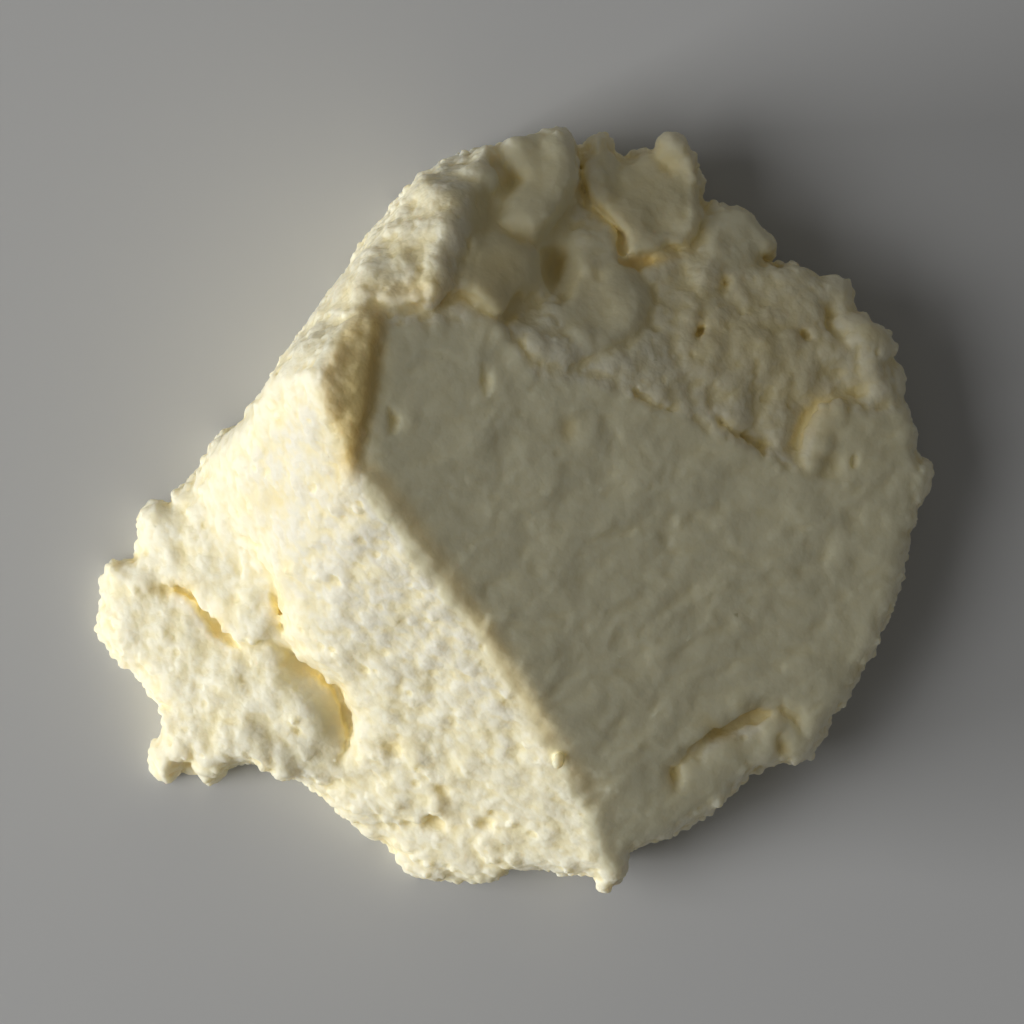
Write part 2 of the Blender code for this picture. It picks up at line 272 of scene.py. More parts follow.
# Outline of the slumped ledge
LEDGE_PLAN = [
    (-29.0, 7.0), (-30.2, 3.8), (-33.6, 2.7), (-34.3, 1.0), (-37.2, 0.5), (-38.0, -2.6), (-38.2, -4.3), (-41.3, -5.0),
    (-41.6, -7.4), (-42.0, -10.0), (-41.8, -12.4), (-40.0, -14.8), (-38.6, -15.8), (-37.0, -17.5), (-35.0, -19.5), (-34.9, -21.4),
    (-36.0, -22.8), (-36.9, -24.1), (-36.2, -25.6), (-35.4, -26.6), (-34.2, -25.4), (-32.5, -24.7), (-31.7, -26.2), (-30.2, -26.6),
    (-29.4, -25.4), (-26.6, -25.2), (-25.0, -25.7), (-23.4, -26.6), (-21.4, -26.8), (-19.6, -28.4), (-14.0, -27.0), (-12.0, -14.0),
    (-18.0, -6.0), (-22.0, 2.0),
]
# The upper part of the ledge, which overhangs the narrow crack
LEDGE_LOBE = [
    (-27.0, 9.0), (-34.0, 5.0), (-40.0, 2.0), (-44.0, -4.0), (-41.4, -6.4), (-38.8, -7.2), (-36.8, -7.5), (-35.0, -7.0), (-33.2, -6.9),
    (-32.0, -7.7), (-31.4, -9.2), (-30.2, -10.2), (-29.2, -10.9), (-28.0, -12.5), (-26.0, -12.7), (-24.4, -12.0), (-22.6, -13.2),
    (-18.0, -12.0), (-20.0, 0.0),
]
# Where the knife's smear ends, from the crest to the moulded rim
SMEAR_EDGE = [
    (-18.0, 22.0), (-14.0, 20.8), (-11.0, 20.0), (-7.4, 20.1), (-5.4, 21.0), (-3.6, 20.7), (-2.4, 19.6), (-0.8, 18.3), (0.4, 16.6), (2.4, 13.6), (6.0, 13.4),
    (10.8, 12.3), (13.2, 11.1), (16.4, 10.2), (18.0, 9.3), (20.6, 8.2), (22.9, 7.0), (24.9, 6.4), (27.2, 5.1), (28.6, 4.8),
    (29.3, 6.8), (29.8, 9.4), (30.7, 10.8), (32.2, 11.2), (33.6, 10.7), (35.4, 10.1), (37.8, 10.7), (39.8, 10.1), (47.0, 10.0),
]
# The left edge of the smear: between it and the crest the curd is torn again
SMEAR_LEFT = [(-13.6, 22.4), (-13.0, 19.0), (-13.0, 15.5), (-13.2, 12.0), (-13.6, 8.6), (-14.2, 5.2), (-15.0, 2.4), (-17.5, -3.0)]
WALL_AT, WALL_NORMAL, WALL_LEAN = (-21.55, 18.68), (-0.811, 0.584), 0.045

# The crest between the torn face and the smooth slope, from the bulge to the near end
CREST_LINE = [(-15.0, 21.0), (-16.6, 17.8), (-18.2, 14.8), (-18.8, 12.4), (-18.2, 9.6), (-17.0, 7.4), (-15.4, 6.0), (-12.6, 2.2),
              (-10.9, 0.0), (-4.1, -10.0), (4.6, -24.4), (10.4, -32.0)]
# The bulge at the upper left, and how high it stands
BULGE = [(-0.6, 40.5), (-1.0, 36.6), (-1.4, 34.6), (-1.2, 32.6), (-2.4, 31.0), (-2.6, 29.0), (-2.8, 27.2), (-3.8, 24.6),
         (-4.0, 22.6), (-4.4, 18.0), (-9.0, 15.0), (-17.0, 13.0), (-30.0, 24.0), (-18.0, 40.0), (-8.0, 44.0)]
BULGE_HEIGHT = 4.8
# Masses that stand out of the torn upper end: outline, height, width of their rounded edge, how crisp that edge is
PILLOWS = (
    ("column", [(-2.0, 39.5), (-1.6, 36.8), (-0.9, 34.6), (0.2, 33.0), (-0.9, 30.8), (-1.3, 28.6), (0.4, 27.4), (2.2, 26.6),
                (3.0, 27.2), (4.2, 28.8), (5.4, 30.6), (6.5, 33.0), (6.5, 36.6), (6.6, 39.5)], 2.2, 2.4, 0.5),
    ("nodule", [(-5.3, 22.5), (-4.6, 25.0), (-4.1, 27.2), (-1.6, 27.7), (0.4, 26.9), (2.2, 25.8), (2.8, 24.0), (2.6, 22.2),
                (0.9, 20.9), (-0.4, 19.8), (-1.7, 19.3), (-3.7, 20.3)], 2.0, 1.5, 0.6),
    ("middle_lobe", [(5.4, 26.6), (6.2, 28.4), (7.8, 29.4), (9.6, 29.0), (10.8, 27.8), (11.3, 26.2), (12.4, 24.3), (13.6, 22.4),
                     (13.8, 20.7), (13.2, 18.6), (11.0, 16.4), (8.6, 15.2), (6.0, 14.7), (3.4, 14.7), (1.2, 16.0), (0.7, 18.2),
                     (1.6, 20.0), (3.0, 21.2), (4.6, 21.8), (5.0, 24.0)], 1.5, 1.8, 0.55),
    ("flake", [(6.8, 33.6), (7.5, 31.2), (9.0, 29.6), (10.6, 28.0), (11.0, 25.5), (12.4, 25.7), (14.0, 26.0), (15.4, 26.8),
               (16.8, 26.6), (18.3, 27.9), (19.0, 30.0), (18.9, 33.4), (19.4, 37.0), (16.0, 40.0),
               (14.0, 38.0), (11.2, 37.0), (9.2, 38.6), (7.2, 38.0), (6.9, 36.0)], 1.9, 0.9, 0.85),
    ("flake_rim", [(15.6, 40.0), (15.4, 36.6), (16.6, 34.8), (17.2, 32.4), (17.0, 29.6), (16.2, 27.6), (17.6, 27.6), (19.0, 29.4),
                   (19.2, 33.0), (19.4, 37.0), (17.0, 40.0)], 0.9, 1.4, 0.3),
    ("right_mass", [(16.6, 26.2), (18.2, 27.4), (19.5, 30.0), (19.3, 33.0), (22.0, 33.0), (26.0, 31.0), (28.0, 27.4), (26.2, 25.6),
                    (24.6, 25.0), (22.4, 24.6), (21.0, 23.6), (19.8, 22.0), (18.4, 21.6), (17.2, 22.6)], 0.8, 2.0, 0.3),
    ("right_ridge", [(18.9, 28.4), (20.6, 28.6), (21.6, 26.4), (20.8, 24.2), (19.6, 21.6), (18.6, 19.4), (17.6, 18.8), (17.0, 20.4),
                     (17.4, 23.4), (18.2, 26.0)], 0.5, 1.5, 0.2),
    ("far_mass", [(27.6, 27.0), (32.0, 25.4), (31.4, 22.6), (30.6, 19.4), (28.4, 18.2), (26.0, 19.0), (24.6, 21.6), (26.0, 24.8)], 0.5, 2.2, 0.2),
    ("far_mass_2", [(32.0, 26.0), (38.0, 20.0), (39.0, 16.0), (36.0, 14.4), (33.4, 15.6), (31.8, 18.0), (32.2, 21.4)], 0.6, 2.2, 0.2),
)
# Where one layer stands over another: the line, the drop on its right, how far that takes to close, and where the drop starts and ends
STEPS = (
    ([(14.9, -29.6), (15.2, -27.4), (15.7, -25.2), (16.9, -23.9), (18.6, -22.9), (20.2, -21.6), (21.6, -20.4), (23.4, -19.4), (25.2, -18.8),
      (26.8, -18.9), (28.2, -19.8), (29.2, -21.4), (29.8, -23.4)], 1.75, 3.0, -1.2, 0.7),
    ([(37.0, 11.0), (35.0, 11.6), (33.0, 12.0), (30.8, 11.4), (29.6, 10.2), (29.0, 8.4), (28.4, 6.2), (28.2, 4.4)], 1.0, 2.4, -0.5, 0.45),
    ([(32.3, 16.0), (31.9, 17.4), (30.8, 20.0), (29.6, 22.6)], 1.0, 1.8, -0.4, 0.3),
)
# Plan place, plan radii, turn, depth
DENTS = (
    (-11.4, 9.2, 0.8, 1.3, -10, 0.32), (5.2, 8.3, 0.8, 1.3, 10, 0.48), (1.1, -1.0, 1.6, 0.9, 10, 0.22), (-1.3, 4.6, 0.9, 1.9, 0, 0.22),
    (17.8, -0.2, 0.8, 0.8, 0, 0.36), (15.2, -1.9, 0.9, 0.8, 0, 0.40), (20.4, 0.5, 0.5, 0.6, 0, 0.32), (28.5, -5.7, 0.7, 0.8, 0, 0.34),
    (22.3, -6.8, 1.2, 0.8, 10, 0.26), (25.1, -10.5, 1.6, 0.6, 20, 0.24), (21.2, -10.9, 0.9, 0.6, 20, 0.2), (30.7, -10.0, 0.7, 1.1, -10, 0.24),
    (33.9, -0.6, 1.3, 1.0, 30, 0.42), (31.4, 4.8, 1.4, 1.4, 0, 1.0), (33.9, 5.4, 0.5, 0.8, 0, 0.3), (18.5, 18.4, 0.55, 1.0, -20, 0.6),
    (21.0, 22.7, 0.5, 0.9, -10, 0.9), (28.8, 17.8, 0.6, 0.5, 0, 1.1), (22.7, 7.7, 0.7, 0.6, -30, 0.9), (24.5, 6.9, 0.7, 0.5, 0, 0.9),
    (27.0, -23.2, 0.8, 1.3, -25, 0.55), (25.2, 11.8, 0.5, 1.3, 0, 0.4), (17.8, 12.9, 0.9, 0.4, 45, 0.5), (20.3, 9.4, 0.9, 0.5, -40, 0.5), (27.6, 12.8, 0.6, 1.2, 0, 0.35),
    (24.0, 14.6, 0.8, 1.2, 10, 0.35), (20.6, 15.2, 1.2, 0.9, 0, 0.3), (15.6, 15.8, 1.0, 1.4, 20, 0.3), (33.0, 14.4, 1.4, 0.7, 10, 0.35),
    (-2.4, 34.4, 0.9, 1.3, 10, 0.9), (-2.6, 30.4, 1.0, 2.4, 10, 0.5), (9.6, 31.2, 1.5, 2.6, -35, 0.8), (7.2, 24.2, 1.9, 1.5, 0, 0.5),
    (8.4, 23.4, 0.5, 0.6, 0, 0.5), (12.2, 33.0, 3.4, 2.6, -10, 0.9), (-2.9, 24.4, 2.6, 2.6, -30, 0.8), (14.2, 29.6, 1.6, 1.8, 0, 0.35), (15.4, 34.8, 0.8, 0.9, 0, 0.6), 
    (6.9, 30.9, 0.8, 0.9, 0, 0.9), (-12.0, 26.6, 1.6, 1.2, 30, 0.4), (-9.0, 25.4, 1.2, 1.6, 0, 0.5),
    (-6.8, 30.2, 1.4, 1.4, 0, 0.5), (-9.4, 30.6, 1.0, 1.4, 20, 0.4),
)
SWELLS = (
    (-9.9, 9.0, 1.0, 1.2, 0, 0.16), (6.9, 6.9, 1.3, 0.8, 30, 0.26), (8.0, 8.2, 0.7, 1.2, -14, 0.24), (6.0, 9.9, 1.0, 0.6, 30, 0.14), (-0.9, 12.2, 0.7, 1.6, 20, 0.22),
    (17.0, 2.6, 2.6, 1.2, 30, 0.26), (12.4, 3.0, 2.2, 0.9, 30, 0.2), (3.2, 1.8, 2.2, 0.7, 38, 0.2), (7.3, 24.4, 0.9, 0.8, 0, 0.8),
    (16.3, 36.9, 1.3, 1.3, 0, 0.6), (8.4, 37.0, 0.8, 1.3, 0, 0.8), 
    (26.4, -20.9, 2.1, 1.2, -24, 0.55), (16.2, -23.8, 0.5, 1.0, 0, 0.35), (-8.4, 24.4, 0.9, 1.2, 0, 0.3),
    (34.0, 9.0, 3.0, 1.2, -4, 0.35), (11.0, 14.2, 3.0, 1.2, -14, 0.3),
)
GROOVES = (
    # x, y along each, then its half width and depth
    ([(-12.9, 16.0), (-13.1, 13.4), (-13.5, 10.4), (-14.0, 7.4), (-14.6, 4.6), (-15.4, 2.4)], 0.95, 0.45),
    ([(17.4, -7.4), (15.2, -9.2), (12.6, -11.4)], 0.60, 0.26),
    ([(19.4, -22.2), (20.6, -21.4)], 0.50, 0.40),
    ([(22.8, -20.2), (24.6, -19.6)], 0.55, 0.35),
    ([(27.4, -19.7), (28.2, -20.7), (28.8, -22.0)], 0.30, 0.16),
    ([(12.6, 11.7), (14.0, 10.9), (16.0, 10.5)], 0.34, 0.50),
    ([(17.6, 9.6), (19.2, 8.4)], 0.36, 0.45),
    ([(22.4, 7.6), (24.6, 6.7)], 0.36, 0.50),
    ([(-27.8, -1.8), (-26.4, -2.8), (-25.2, -3.6)], 0.45, 0.7),
    ([(6.7, 33.0), (7.6, 31.4), (9.2, 29.8), (10.9, 27.9), (11.4, 25.9)], 0.40, 0.7),
    ([(-5.2, 21.6), (-3.6, 20.9), (-2.2, 19.7), (-0.8, 18.6), (0.6, 16.6)], 0.36, 0.6),
    ([(13.9, 22.6), (14.0, 20.8), (13.2, 18.8), (11.8, 17.4), (9.8, 16.2), (6.6, 15.1)], 0.38, 0.5),
    ([(18.3, 21.8), (18.7, 20.0), (18.4, 18.4)], 0.35, 0.4),
)
RIPPLES = (
    # long faint smears on the slope: start, end, bow, half width, height
    ((-8.0, -9.0), (8.0, 4.0), 2.0, 0.7, 0.10), ((-1.0, -10.0), (16.0, -3.0), -3.0, 0.6, 0.12),
    ((2.0, -16.0), (24.0, -8.0), -2.0, 0.8, 0.12), ((-6.0, 2.0), (9.0, 8.0), 1.0, 0.6, 0.10),
    ((6.0, -12.0), (28.0, -3.0), -1.5, 0.7, 0.11), ((14.0, -14.0), (30.0, -8.0), -1.0, 0.6, 0.10),
    ((-4.0, -14.0), (10.0, -9.0), -2.0, 0.7, 0.10), ((0.0, 7.0), (18.0, 9.0), -1.0, 0.6, 0.08),
    ((10.0, -18.0), (27.0, -13.0), -1.5, 0.7, 0.10), ((12.0, 0.0), (30.0, 2.0), 1.0, 0.7, 0.08),
)
# Cracks as beads of x, y, z, radius
WIDE_CRACK = [
    (-25.4, -3.8, 16.2, 0.35), (-24.4, -6.6, 15.6, 0.60), (-23.9, -8.0, 15.0, 0.45), (-23.0, -9.4, 14.6, 0.60), (-23.1, -11.2, 14.0, 0.45),
    (-22.4, -12.8, 13.4, 0.40),
]
SLUMP_CRACK = [
    (-38.4, -7.6, 7.2, 0.35), (-36.0, -7.6, 8.0, 0.50), (-33.4, -7.3, 8.8, 0.75), (-32.1, -8.2, 9.1, 0.65), (-31.0, -9.8, 9.5, 0.70),
    (-29.6, -11.0, 10.0, 0.95), (-28.4, -12.4, 10.4, 0.80), (-27.4, -13.4, 11.0, 0.40),
]
# The foot of the torn face where the ledge has parted from it, and how far the ledge sinks towards it
PARTING = [(-23.4, -9.6), (-22.8, -12.1), (-21.6, -14.1), (-19.7, -15.2), (-18.0, -16.4), (-16.9, -18.0), (-16.4, -19.6), (-16.0, -21.0), (-16.3, -22.8), (-17.0, -24.6), (-17.6, -26.4)]
PARTING_DEPTH = 2.8
PARTING_SLOT = [(-21.9, -14.0, 0.30), (-20.0, -15.4, 0.42), (-18.3, -16.7, 0.45), (-17.3, -18.3, 0.50), (-16.8, -19.8, 0.60), (-16.5, -21.3, 0.60), (-16.9, -23.2, 0.45), (-17.6, -25.0, 0.30)]
CREASE = [(-28.4, -1.2, -0.1, 0.25), (-27.2, -2.2, 0.1, 0.42), (-26.0, -3.0, 0.1, 0.42), (-24.8, -3.9, 0.0, 0.3)]
# Narrow slots in the upper surface: x, y, how deep the slot's middle lies, radius
SLOTS = (
    # under the lip at the lower right
    [(17.6, -23.4, -0.2, 0.50), (19.0, -22.4, 0.0, 0.80), (20.8, -21.5, 0.1, 1.0), (22.4, -20.5, 0.1, 1.0), (24.1, -20.0, 0.1, 0.9), (25.6, -19.7, -0.1, 0.5)],
    [(16.3, -27.4, -0.1, 0.4), (16.2, -25.6, 0.0, 0.7)],
    [(26.7, -22.2, 0.0, 0.4), (27.0, -23.6, 0.1, 0.8), (27.1, -25.2, 0.2, 1.1)],
    # beneath the flake's edges
    [(11.0, 25.0, 0.5, 0.5), (12.2, 24.7, 0.6, 0.6), (13.6, 25.1, 0.6, 0.55), (15.2, 25.9, 0.5, 0.5), (16.6, 26.2, 0.3, 0.35)],
    [(7.2, 32.0, 0.3, 0.4), (8.2, 30.4, 0.6, 0.65), (9.2, 29.3, 0.6, 0.6), (10.5, 27.8, 0.3, 0.4), (10.8, 26.2, 0.4, 0.4)],
    # round the nodule
    [(0.8, 21.1, 0.3, 0.5), (-0.2, 19.6, 0.3, 0.65), (-1.2, 18.6, 0.0, 0.4)],
    [(3.1, 25.6, 0.5, 0.8), (3.3, 24.2, 0.6, 0.9), (3.4, 22.6, 0.3, 0.6)],
    [(5.3, 23.6, 0.2, 0.35), (5.0, 21.9, 0.2, 0.40), (4.4, 20.8, 0.0, 0.25)],
    [(-1.9, 35.0, 0.1, 0.5), (-1.7, 33.2, 0.1, 0.6)],
    [(-3.6, 31.2, 0.0, 0.4), (-3.9, 28.8, 0.0, 0.4)],
    # pits of the rough zone
    [(18.8, 19.4, 0.1, 0.30), (18.5, 18.4, 0.4, 0.42), (18.2, 17.6, 0.2, 0.32)],
    [(20.9, 23.3, 0.1, 0.25), (20.8, 22.5, 0.2, 0.35)], [(28.5, 17.9, 0.3, 0.38), (29.2, 17.4, 0.1, 0.30)],
    [(20.4, 9.2, 0.0, 0.3), (21.2, 8.4, 0.2, 0.45), (22.4, 7.4, 0.3, 0.5)], [(24.1, 6.6, 0.2, 0.4), (24.8, 6.2, 0.2, 0.4)],
    [(26.0, 5.8, -0.1, 0.35), (27.4, 4.8, 0.0, 0.4)],
    [(31.4, 20.0, -0.2, 0.5), (32.3, 17.4, 0.0, 0.5)],
    [(11.4, 12.2, 0.0, 0.3), (13.4, 11.1, 0.1, 0.36), (15.8, 10.3, 0.0, 0.3)],
    [(17.6, 9.9, 0.0, 0.3), (19.2, 8.8, 0.1, 0.35)],
    # behind the flap at the rim
    [(29.2, 9.2, 0.1, 0.40), (30.0, 10.6, 0.2, 0.50), (31.4, 11.5, 0.1, 0.45), (33.0, 11.7, 0.0, 0.35)],
    [(33.8, 5.6, 0.1, 0.35), (33.8, 5.0, 0.1, 0.35)],
    # by the crest corner
    [(-12.0, 10.3, 0.0, 0.3), (-11.6, 9.2, 0.2, 0.5), (-11.7, 8.2, 0.1, 0.4)], [(-2.8, 14.4, -0.1, 0.35), (-2.6, 13.0, 0.0, 0.5), (-2.6, 11.8, -0.1, 0.35)],
)
# The strip between the crest and the groove beside it lies flatter than the smear: y, then x of the crest and of the groove
STRIP_Y = (2.0, 5.4, 7.4, 9.6, 12.4, 14.8, 17.8, 20.4)
STRIP_CREST = (-15.6, -16.4, -17.4, -18.2, -18.8, -18.2, -16.7, -15.0)
STRIP_GROOVE = (-15.4, -15.6, -15.1, -14.4, -13.9, -13.5, -13.1, -13.0)
CUTS = (
    ("deep_hollow", 1.5, (4.0, 24.7, 22.6), (1.1, 2.2, 3.0), -14, 0, 0),
    ("outline_notch", 0.5, (26.4, 25.0, 12.0), (0.6, 0.9, 5.0), -40, 0, 0),
    ("torn_pit_1", 0.9, (-8.8, -15.2, 26.6), (0.63, 0.72, 1.36), 0, 0, 0),
    ("torn_pit_2", 0.9, (-12.2, -23.6, 14.4), (0.99, 1.08, 1.28), 0, 0, 0),
    ("torn_pit_3", 0.9, (-10.2, -22.4, 16.2), (0.81, 0.54, 0.96), 0, 0, 0),
    ("torn_pit_4", 0.9, (-7.0, -27.9, 13.0), (0.63, 1.26, 1.04), 30, 0, 0),
    ("torn_pit_5", 0.9, (-8.0, -31.0, 9.6), (1.08, 1.35, 1.28), 30, 0, 0),
    ("torn_pit_6", 0.9, (-2.6, -31.0, 11.9), (0.90, 0.72, 1.04), 0, 0, 0),
    ("torn_pit_7", 0.9, (-6.6, -20.8, 19.0), (0.54, 0.72, 0.96), 0, 0, 0),
    ("torn_pit_8", 0.9, (-17.6, -6.6, 24.8), (0.63, 0.72, 0.88), 0, 0, 0),
    ("torn_pit_9", 0.9, (-11.2, -8.2, 27.4), (0.54, 0.81, 0.88), 0, 0, 0),
    ("torn_pit_10", 0.9, (-14.8, -3.4, 29.6), (0.36, 1.17, 0.88), 0, 0, 0),
    ("side_dent", 0.9, (-24.2, 1.2, 25.0), (1.6, 1.0, 1.5), 0, 0, 0),
)


def knife_height(x, y):
    """The long smooth slope, falling off at the near end."""
    return 36.3 - 0.37 * (x + 18.0) + 0.15 * (y - 12.9) - 0.0064 * np.maximum(0, -(y + 8.0)) ** 2


def pillow(outside, width, crisp=1.0):
    """From 0 on an outline to 1 further in than the width: a quarter-round edge where crisp, an S curve where soft."""
    t = np.clip(-outside / width, 0, 1)
    return crisp * np.sqrt(1 - (1 - t) ** 2) + (1 - crisp) * t * t * (3 - 2 * t)


def plan_relief(x, y):
    """Raises and sinks of the upper surface: pillows, dents, swells, grooves and smears."""
    out = np.zeros(np.broadcast(x, y).shape, f32)
    for name, corners, height, width, crisp in PILLOWS:
        out += height * pillow(polygon(x, y, corners), width, crisp)
    # the column's top leans back to the left
    out += 0.52 * np.clip(x + 1.6, 0, 7.5) * pillow(polygon(x, y, PILLOWS[0][1]), 1.1, 0.6) * ramp(y, 26.5, 29.5)
    for line, depth, closes, near, far in STEPS:
        d = -beside(x, y, line)
        kept = 1.0
        for (ax, ay), (bx, by) in ((line[1], line[0]), (line[-2], line[-1])):
            long = math.hypot(bx - ax, by - ay)
            kept = kept * (1 - ramp(((x - bx) * (bx - ax) + (y - by) * (by - ay)) / long, -3.5, -0.2))
        out -= depth * ramp(d, near, far) * np.exp(-np.maximum(d - 0.4, 0) / closes) * kept
    for px, py, rx, ry, turn, depth in DENTS:
        u, v, _ = turned(x - px, y - py, 0, turn, 0, 0)
        out -= depth * np.exp(-((u / rx) ** 2 + (v / ry) ** 2) * 1.1)
    for px, py, rx, ry, turn, height in SWELLS:
        u, v, _ = turned(x - px, y - py, 0, turn, 0, 0)
        out += height * np.exp(-((u / rx) ** 2 + (v / ry) ** 2) * 1.1)
    crest, groove = (np.interp(y, STRIP_Y, xs).astype(f32) for xs in (STRIP_CREST, STRIP_GROOVE))
    out += 0.24 * np.clip(x - crest, 0, 6) * (1 - ramp(x - groove, -0.5, 0.6)) * ramp(y, 3.5, 6.5) * (1 - ramp(y, 18, 21))
    for line, radius, depth in GROOVES:
        out -= depth * np.exp(-((beside(x, y, line) / radius) ** 2))
    for (ax, ay), (bx, by), bow, width, height in RIPPLES:
        ex, ey = bx - ax, by - ay
        long = math.hypot(ex, ey)
        u = ((x - ax) * ex + (y - ay) * ey) / long
        v = ((y - ay) * ex - (x - ax) * ey) / long
        t = np.clip(u / long, -0.2, 1.2)
        v = v - bow * 4 * t * (1 - t)
        fade = ramp(t, -0.1, 0.25) * (1 - ramp(t, 0.75, 1.1))
        out += height * fade * (np.exp(-((v / width) ** 2)) - 0.7 * np.exp(-(((v + 1.6 * width) / width) ** 2)))
    return out


def smear_texture(x, y):
    """The mottled drag of the knife: patches drawn out along its stroke, and fine curd showing through."""
    turn = math.radians(22)
    x = x + 1.1 * plan_noise(x / 4.3 + 40, y / 4.3 + 40, 5) + 0.4 * plan_noise(x / 1.6 + 40, y / 1.6 + 40, 6)
    y = y + 1.1 * plan_noise(x / 4.1 + 40, y / 4.1 + 40, 7) + 0.4 * plan_noise(x / 1.5 + 40, y / 1.5 + 40, 8)
    u = x * math.cos(turn) + y * math.sin(turn)
    v = -x * math.sin(turn) + y * math.cos(turn)
    out = 0.31 * plan_noise(u / 4.4 + 50, v / 2.9 + 50, 10)
    out = out + 0.17 * plan_noise(u / 2.3 + 50, v / 1.25 + 50, 11) + 0.12 * plan_noise(u / 1.3 + 50, v / 0.8 + 50, 12)
    out = out + 0.075 * plan_noise(x / 0.85 + 60, y / 0.75 + 60, 13) + 0.044 * plan_noise(x / 0.5 + 60, y / 0.46 + 60, 14)
    return out


def upper_surface(x, y):
    """Height of the lump's upper surface over the plan, before its grain."""
    past = beside(x, y, SMEAR_EDGE)
    cut = knife_height(x, y) + 0.20 * np.exp(-(((past + 1.0) / 1.2) ** 2)) * ramp(x, 0, 8)
    cut = cut - 0.050 * np.maximum(0, y - 14.0) ** 2 * (1 - ramp(x, -7, 1)) - 0.06 * np.maximum(0, y - 16.0) ** 2 * (1 - ramp(x, -15, -9))
    ragged = 0.65 + 0.75 * plan_noise(x / 2.4 + 90, y / 2.4 + 90, 61)
    drop = (0.40 + 0.75 * ramp(x, 12, 28) + 0.5 * ramp(-x, -2, 2)) * np.clip(ragged, 0.15, 1.4)
    drop = drop * ramp(past, -0.4, 0.9) * (1 - 0.45 * ramp(past, 2, 8))
    cut = cut - drop + 9.0 * ramp(past, -0.3, 3.0) * (1 - ramp(x, -7, -2))
    rise = 0.5 * ((2 - x) + np.sqrt((2 - x) ** 2 + 5.0))
    top = 28.2 - 0.31 * (x - 4.8) - 0.62 * (y - 13.9) + 6.3 * (1 - np.exp(-rise / 5))
    left, further = -4.2 - x, -9.5 - x
    left = 1.05 * 0.5 * (left + np.sqrt(left ** 2 + 2.0)) - 0.50 * 0.5 * (further + np.sqrt(further ** 2 + 6.0))
    top = top - left * ramp(past, -4.0, 1.0)
    top = np.maximum(top + BULGE_HEIGHT * pillow(polygon(x, y, BULGE), 3.8, 0.25), 12.0)
    bevel = 26.8 - 2.2 * ramp(y, 15.5, 19) * (1 - ramp(y, 21.5, 25)) - 2.0 * ((x - WALL_AT[0]) * WALL_NORMAL[0] + (y - WALL_AT[1]) * WALL_NORMAL[1])
    up = smin(smin(cut, top, 1.2) + plan_relief(x, y), bevel, 1.8)
    up = up + smear_texture(x, y) * (0.25 * (1 - ramp(-x, 4, 7)) + 0.75 * ramp(-past, -0.1, 0.8))
    side = 36.0 + 1.54 * ((x + 16.7) * 0.93 + (y - 6.4) * 0.37)
    front = 27.2 + 0.4355 * (x + 3.2) + 0.783 * (y + 11.1)
    torn = smin(side, front, 5.0) + 0.26 * plan_noise(x / 2.6 + 70, y / 2.6 + 70, 51) + 0.10 * plan_noise(x / 1.3 + 70, y / 1.3 + 70, 52)
    return smin(up, torn, 0.9)


def ledge_surface(x, y):
    low = 10.2 + 0.42 * (x + 28.0) + 0.10 * (y + 18.0)
    high = 14.8 + 0.50 * (x + 24.0) + 0.12 * (y + 8.0)
    face = 27.2 + 0.4355 * (x + 3.2) + 0.783 * (y + 11.1)
    low = low + (smin(low, face + 0.5, 2.0) - low) * ramp(x, -27, -21)
    lobe = pillow(polygon(x, y, LEDGE_LOBE), 1.4)
    up = low + np.maximum(high - low, 0.5) * lobe
    away = np.abs(beside(x, y, PARTING))
    opens = ramp(-y, 12, 19)
    up = up - PARTING_DEPTH * (0.4 + 0.6 * opens) * (1 - ramp(away, 0.0, 1.8 + 2.6 * opens)) * (1 - ramp(y, -12.5, -9.5)) * ramp(y, -26.5, -21.0)
    up = up + 0.32 * plan_noise(x / 3.6 + 20, y / 3.4 + 20, 31) + 0.14 * plan_noise(x / 1.8 + 20, y / 1.7 + 20, 32)
    return up


# ---------------------------------------------------------------- growing the solid


def eased(a, passes):
    """A plan map smoothed by a small triangular filter, several times."""
    for _ in range(passes):
        for axis in (0, 1):
            wide = np.pad(a, [(1, 1) if k == axis else (0, 0) for k in (0, 1)], mode="edge")
            part = [slice(None), slice(None)]
            low, mid, high = list(part), list(part), list(part)
            low[axis], mid[axis], high[axis] = slice(0, -2), slice(1, -1), slice(2, None)
            a = 0.25 * wide[tuple(low)] + 0.5 * wide[tuple(mid)] + 0.25 * wide[tuple(high)]
    return a


def box_mean(a, r):
    """A plan map averaged over a square, twice."""
    for axis in (0, 1, 0, 1):
        pad = [(r + 1, r) if k == axis else (0, 0) for k in (0, 1)]
        c = np.cumsum(np.pad(a, pad, mode="edge"), axis=axis, dtype=np.float64)
        n = a.shape[axis]
        hi, lo = [slice(None)] * 2, [slice(None)] * 2
        hi[axis], lo[axis] = slice(2 * r + 1, 2 * r + 1 + n), slice(0, n)
        a = ((c[tuple(hi)] - c[tuple(lo)]) / (2 * r + 1)).astype(f32)
    return a


def steepness(up, h):
    """Turns a height above a surface into a distance from it, by the surface's slope in plan."""
    gx, gy = np.gradient(eased(up, 6), h)
    return (1 / np.sqrt(1 + np.minimum(gx ** 2 + gy ** 2, 9.0))).astype(f32)


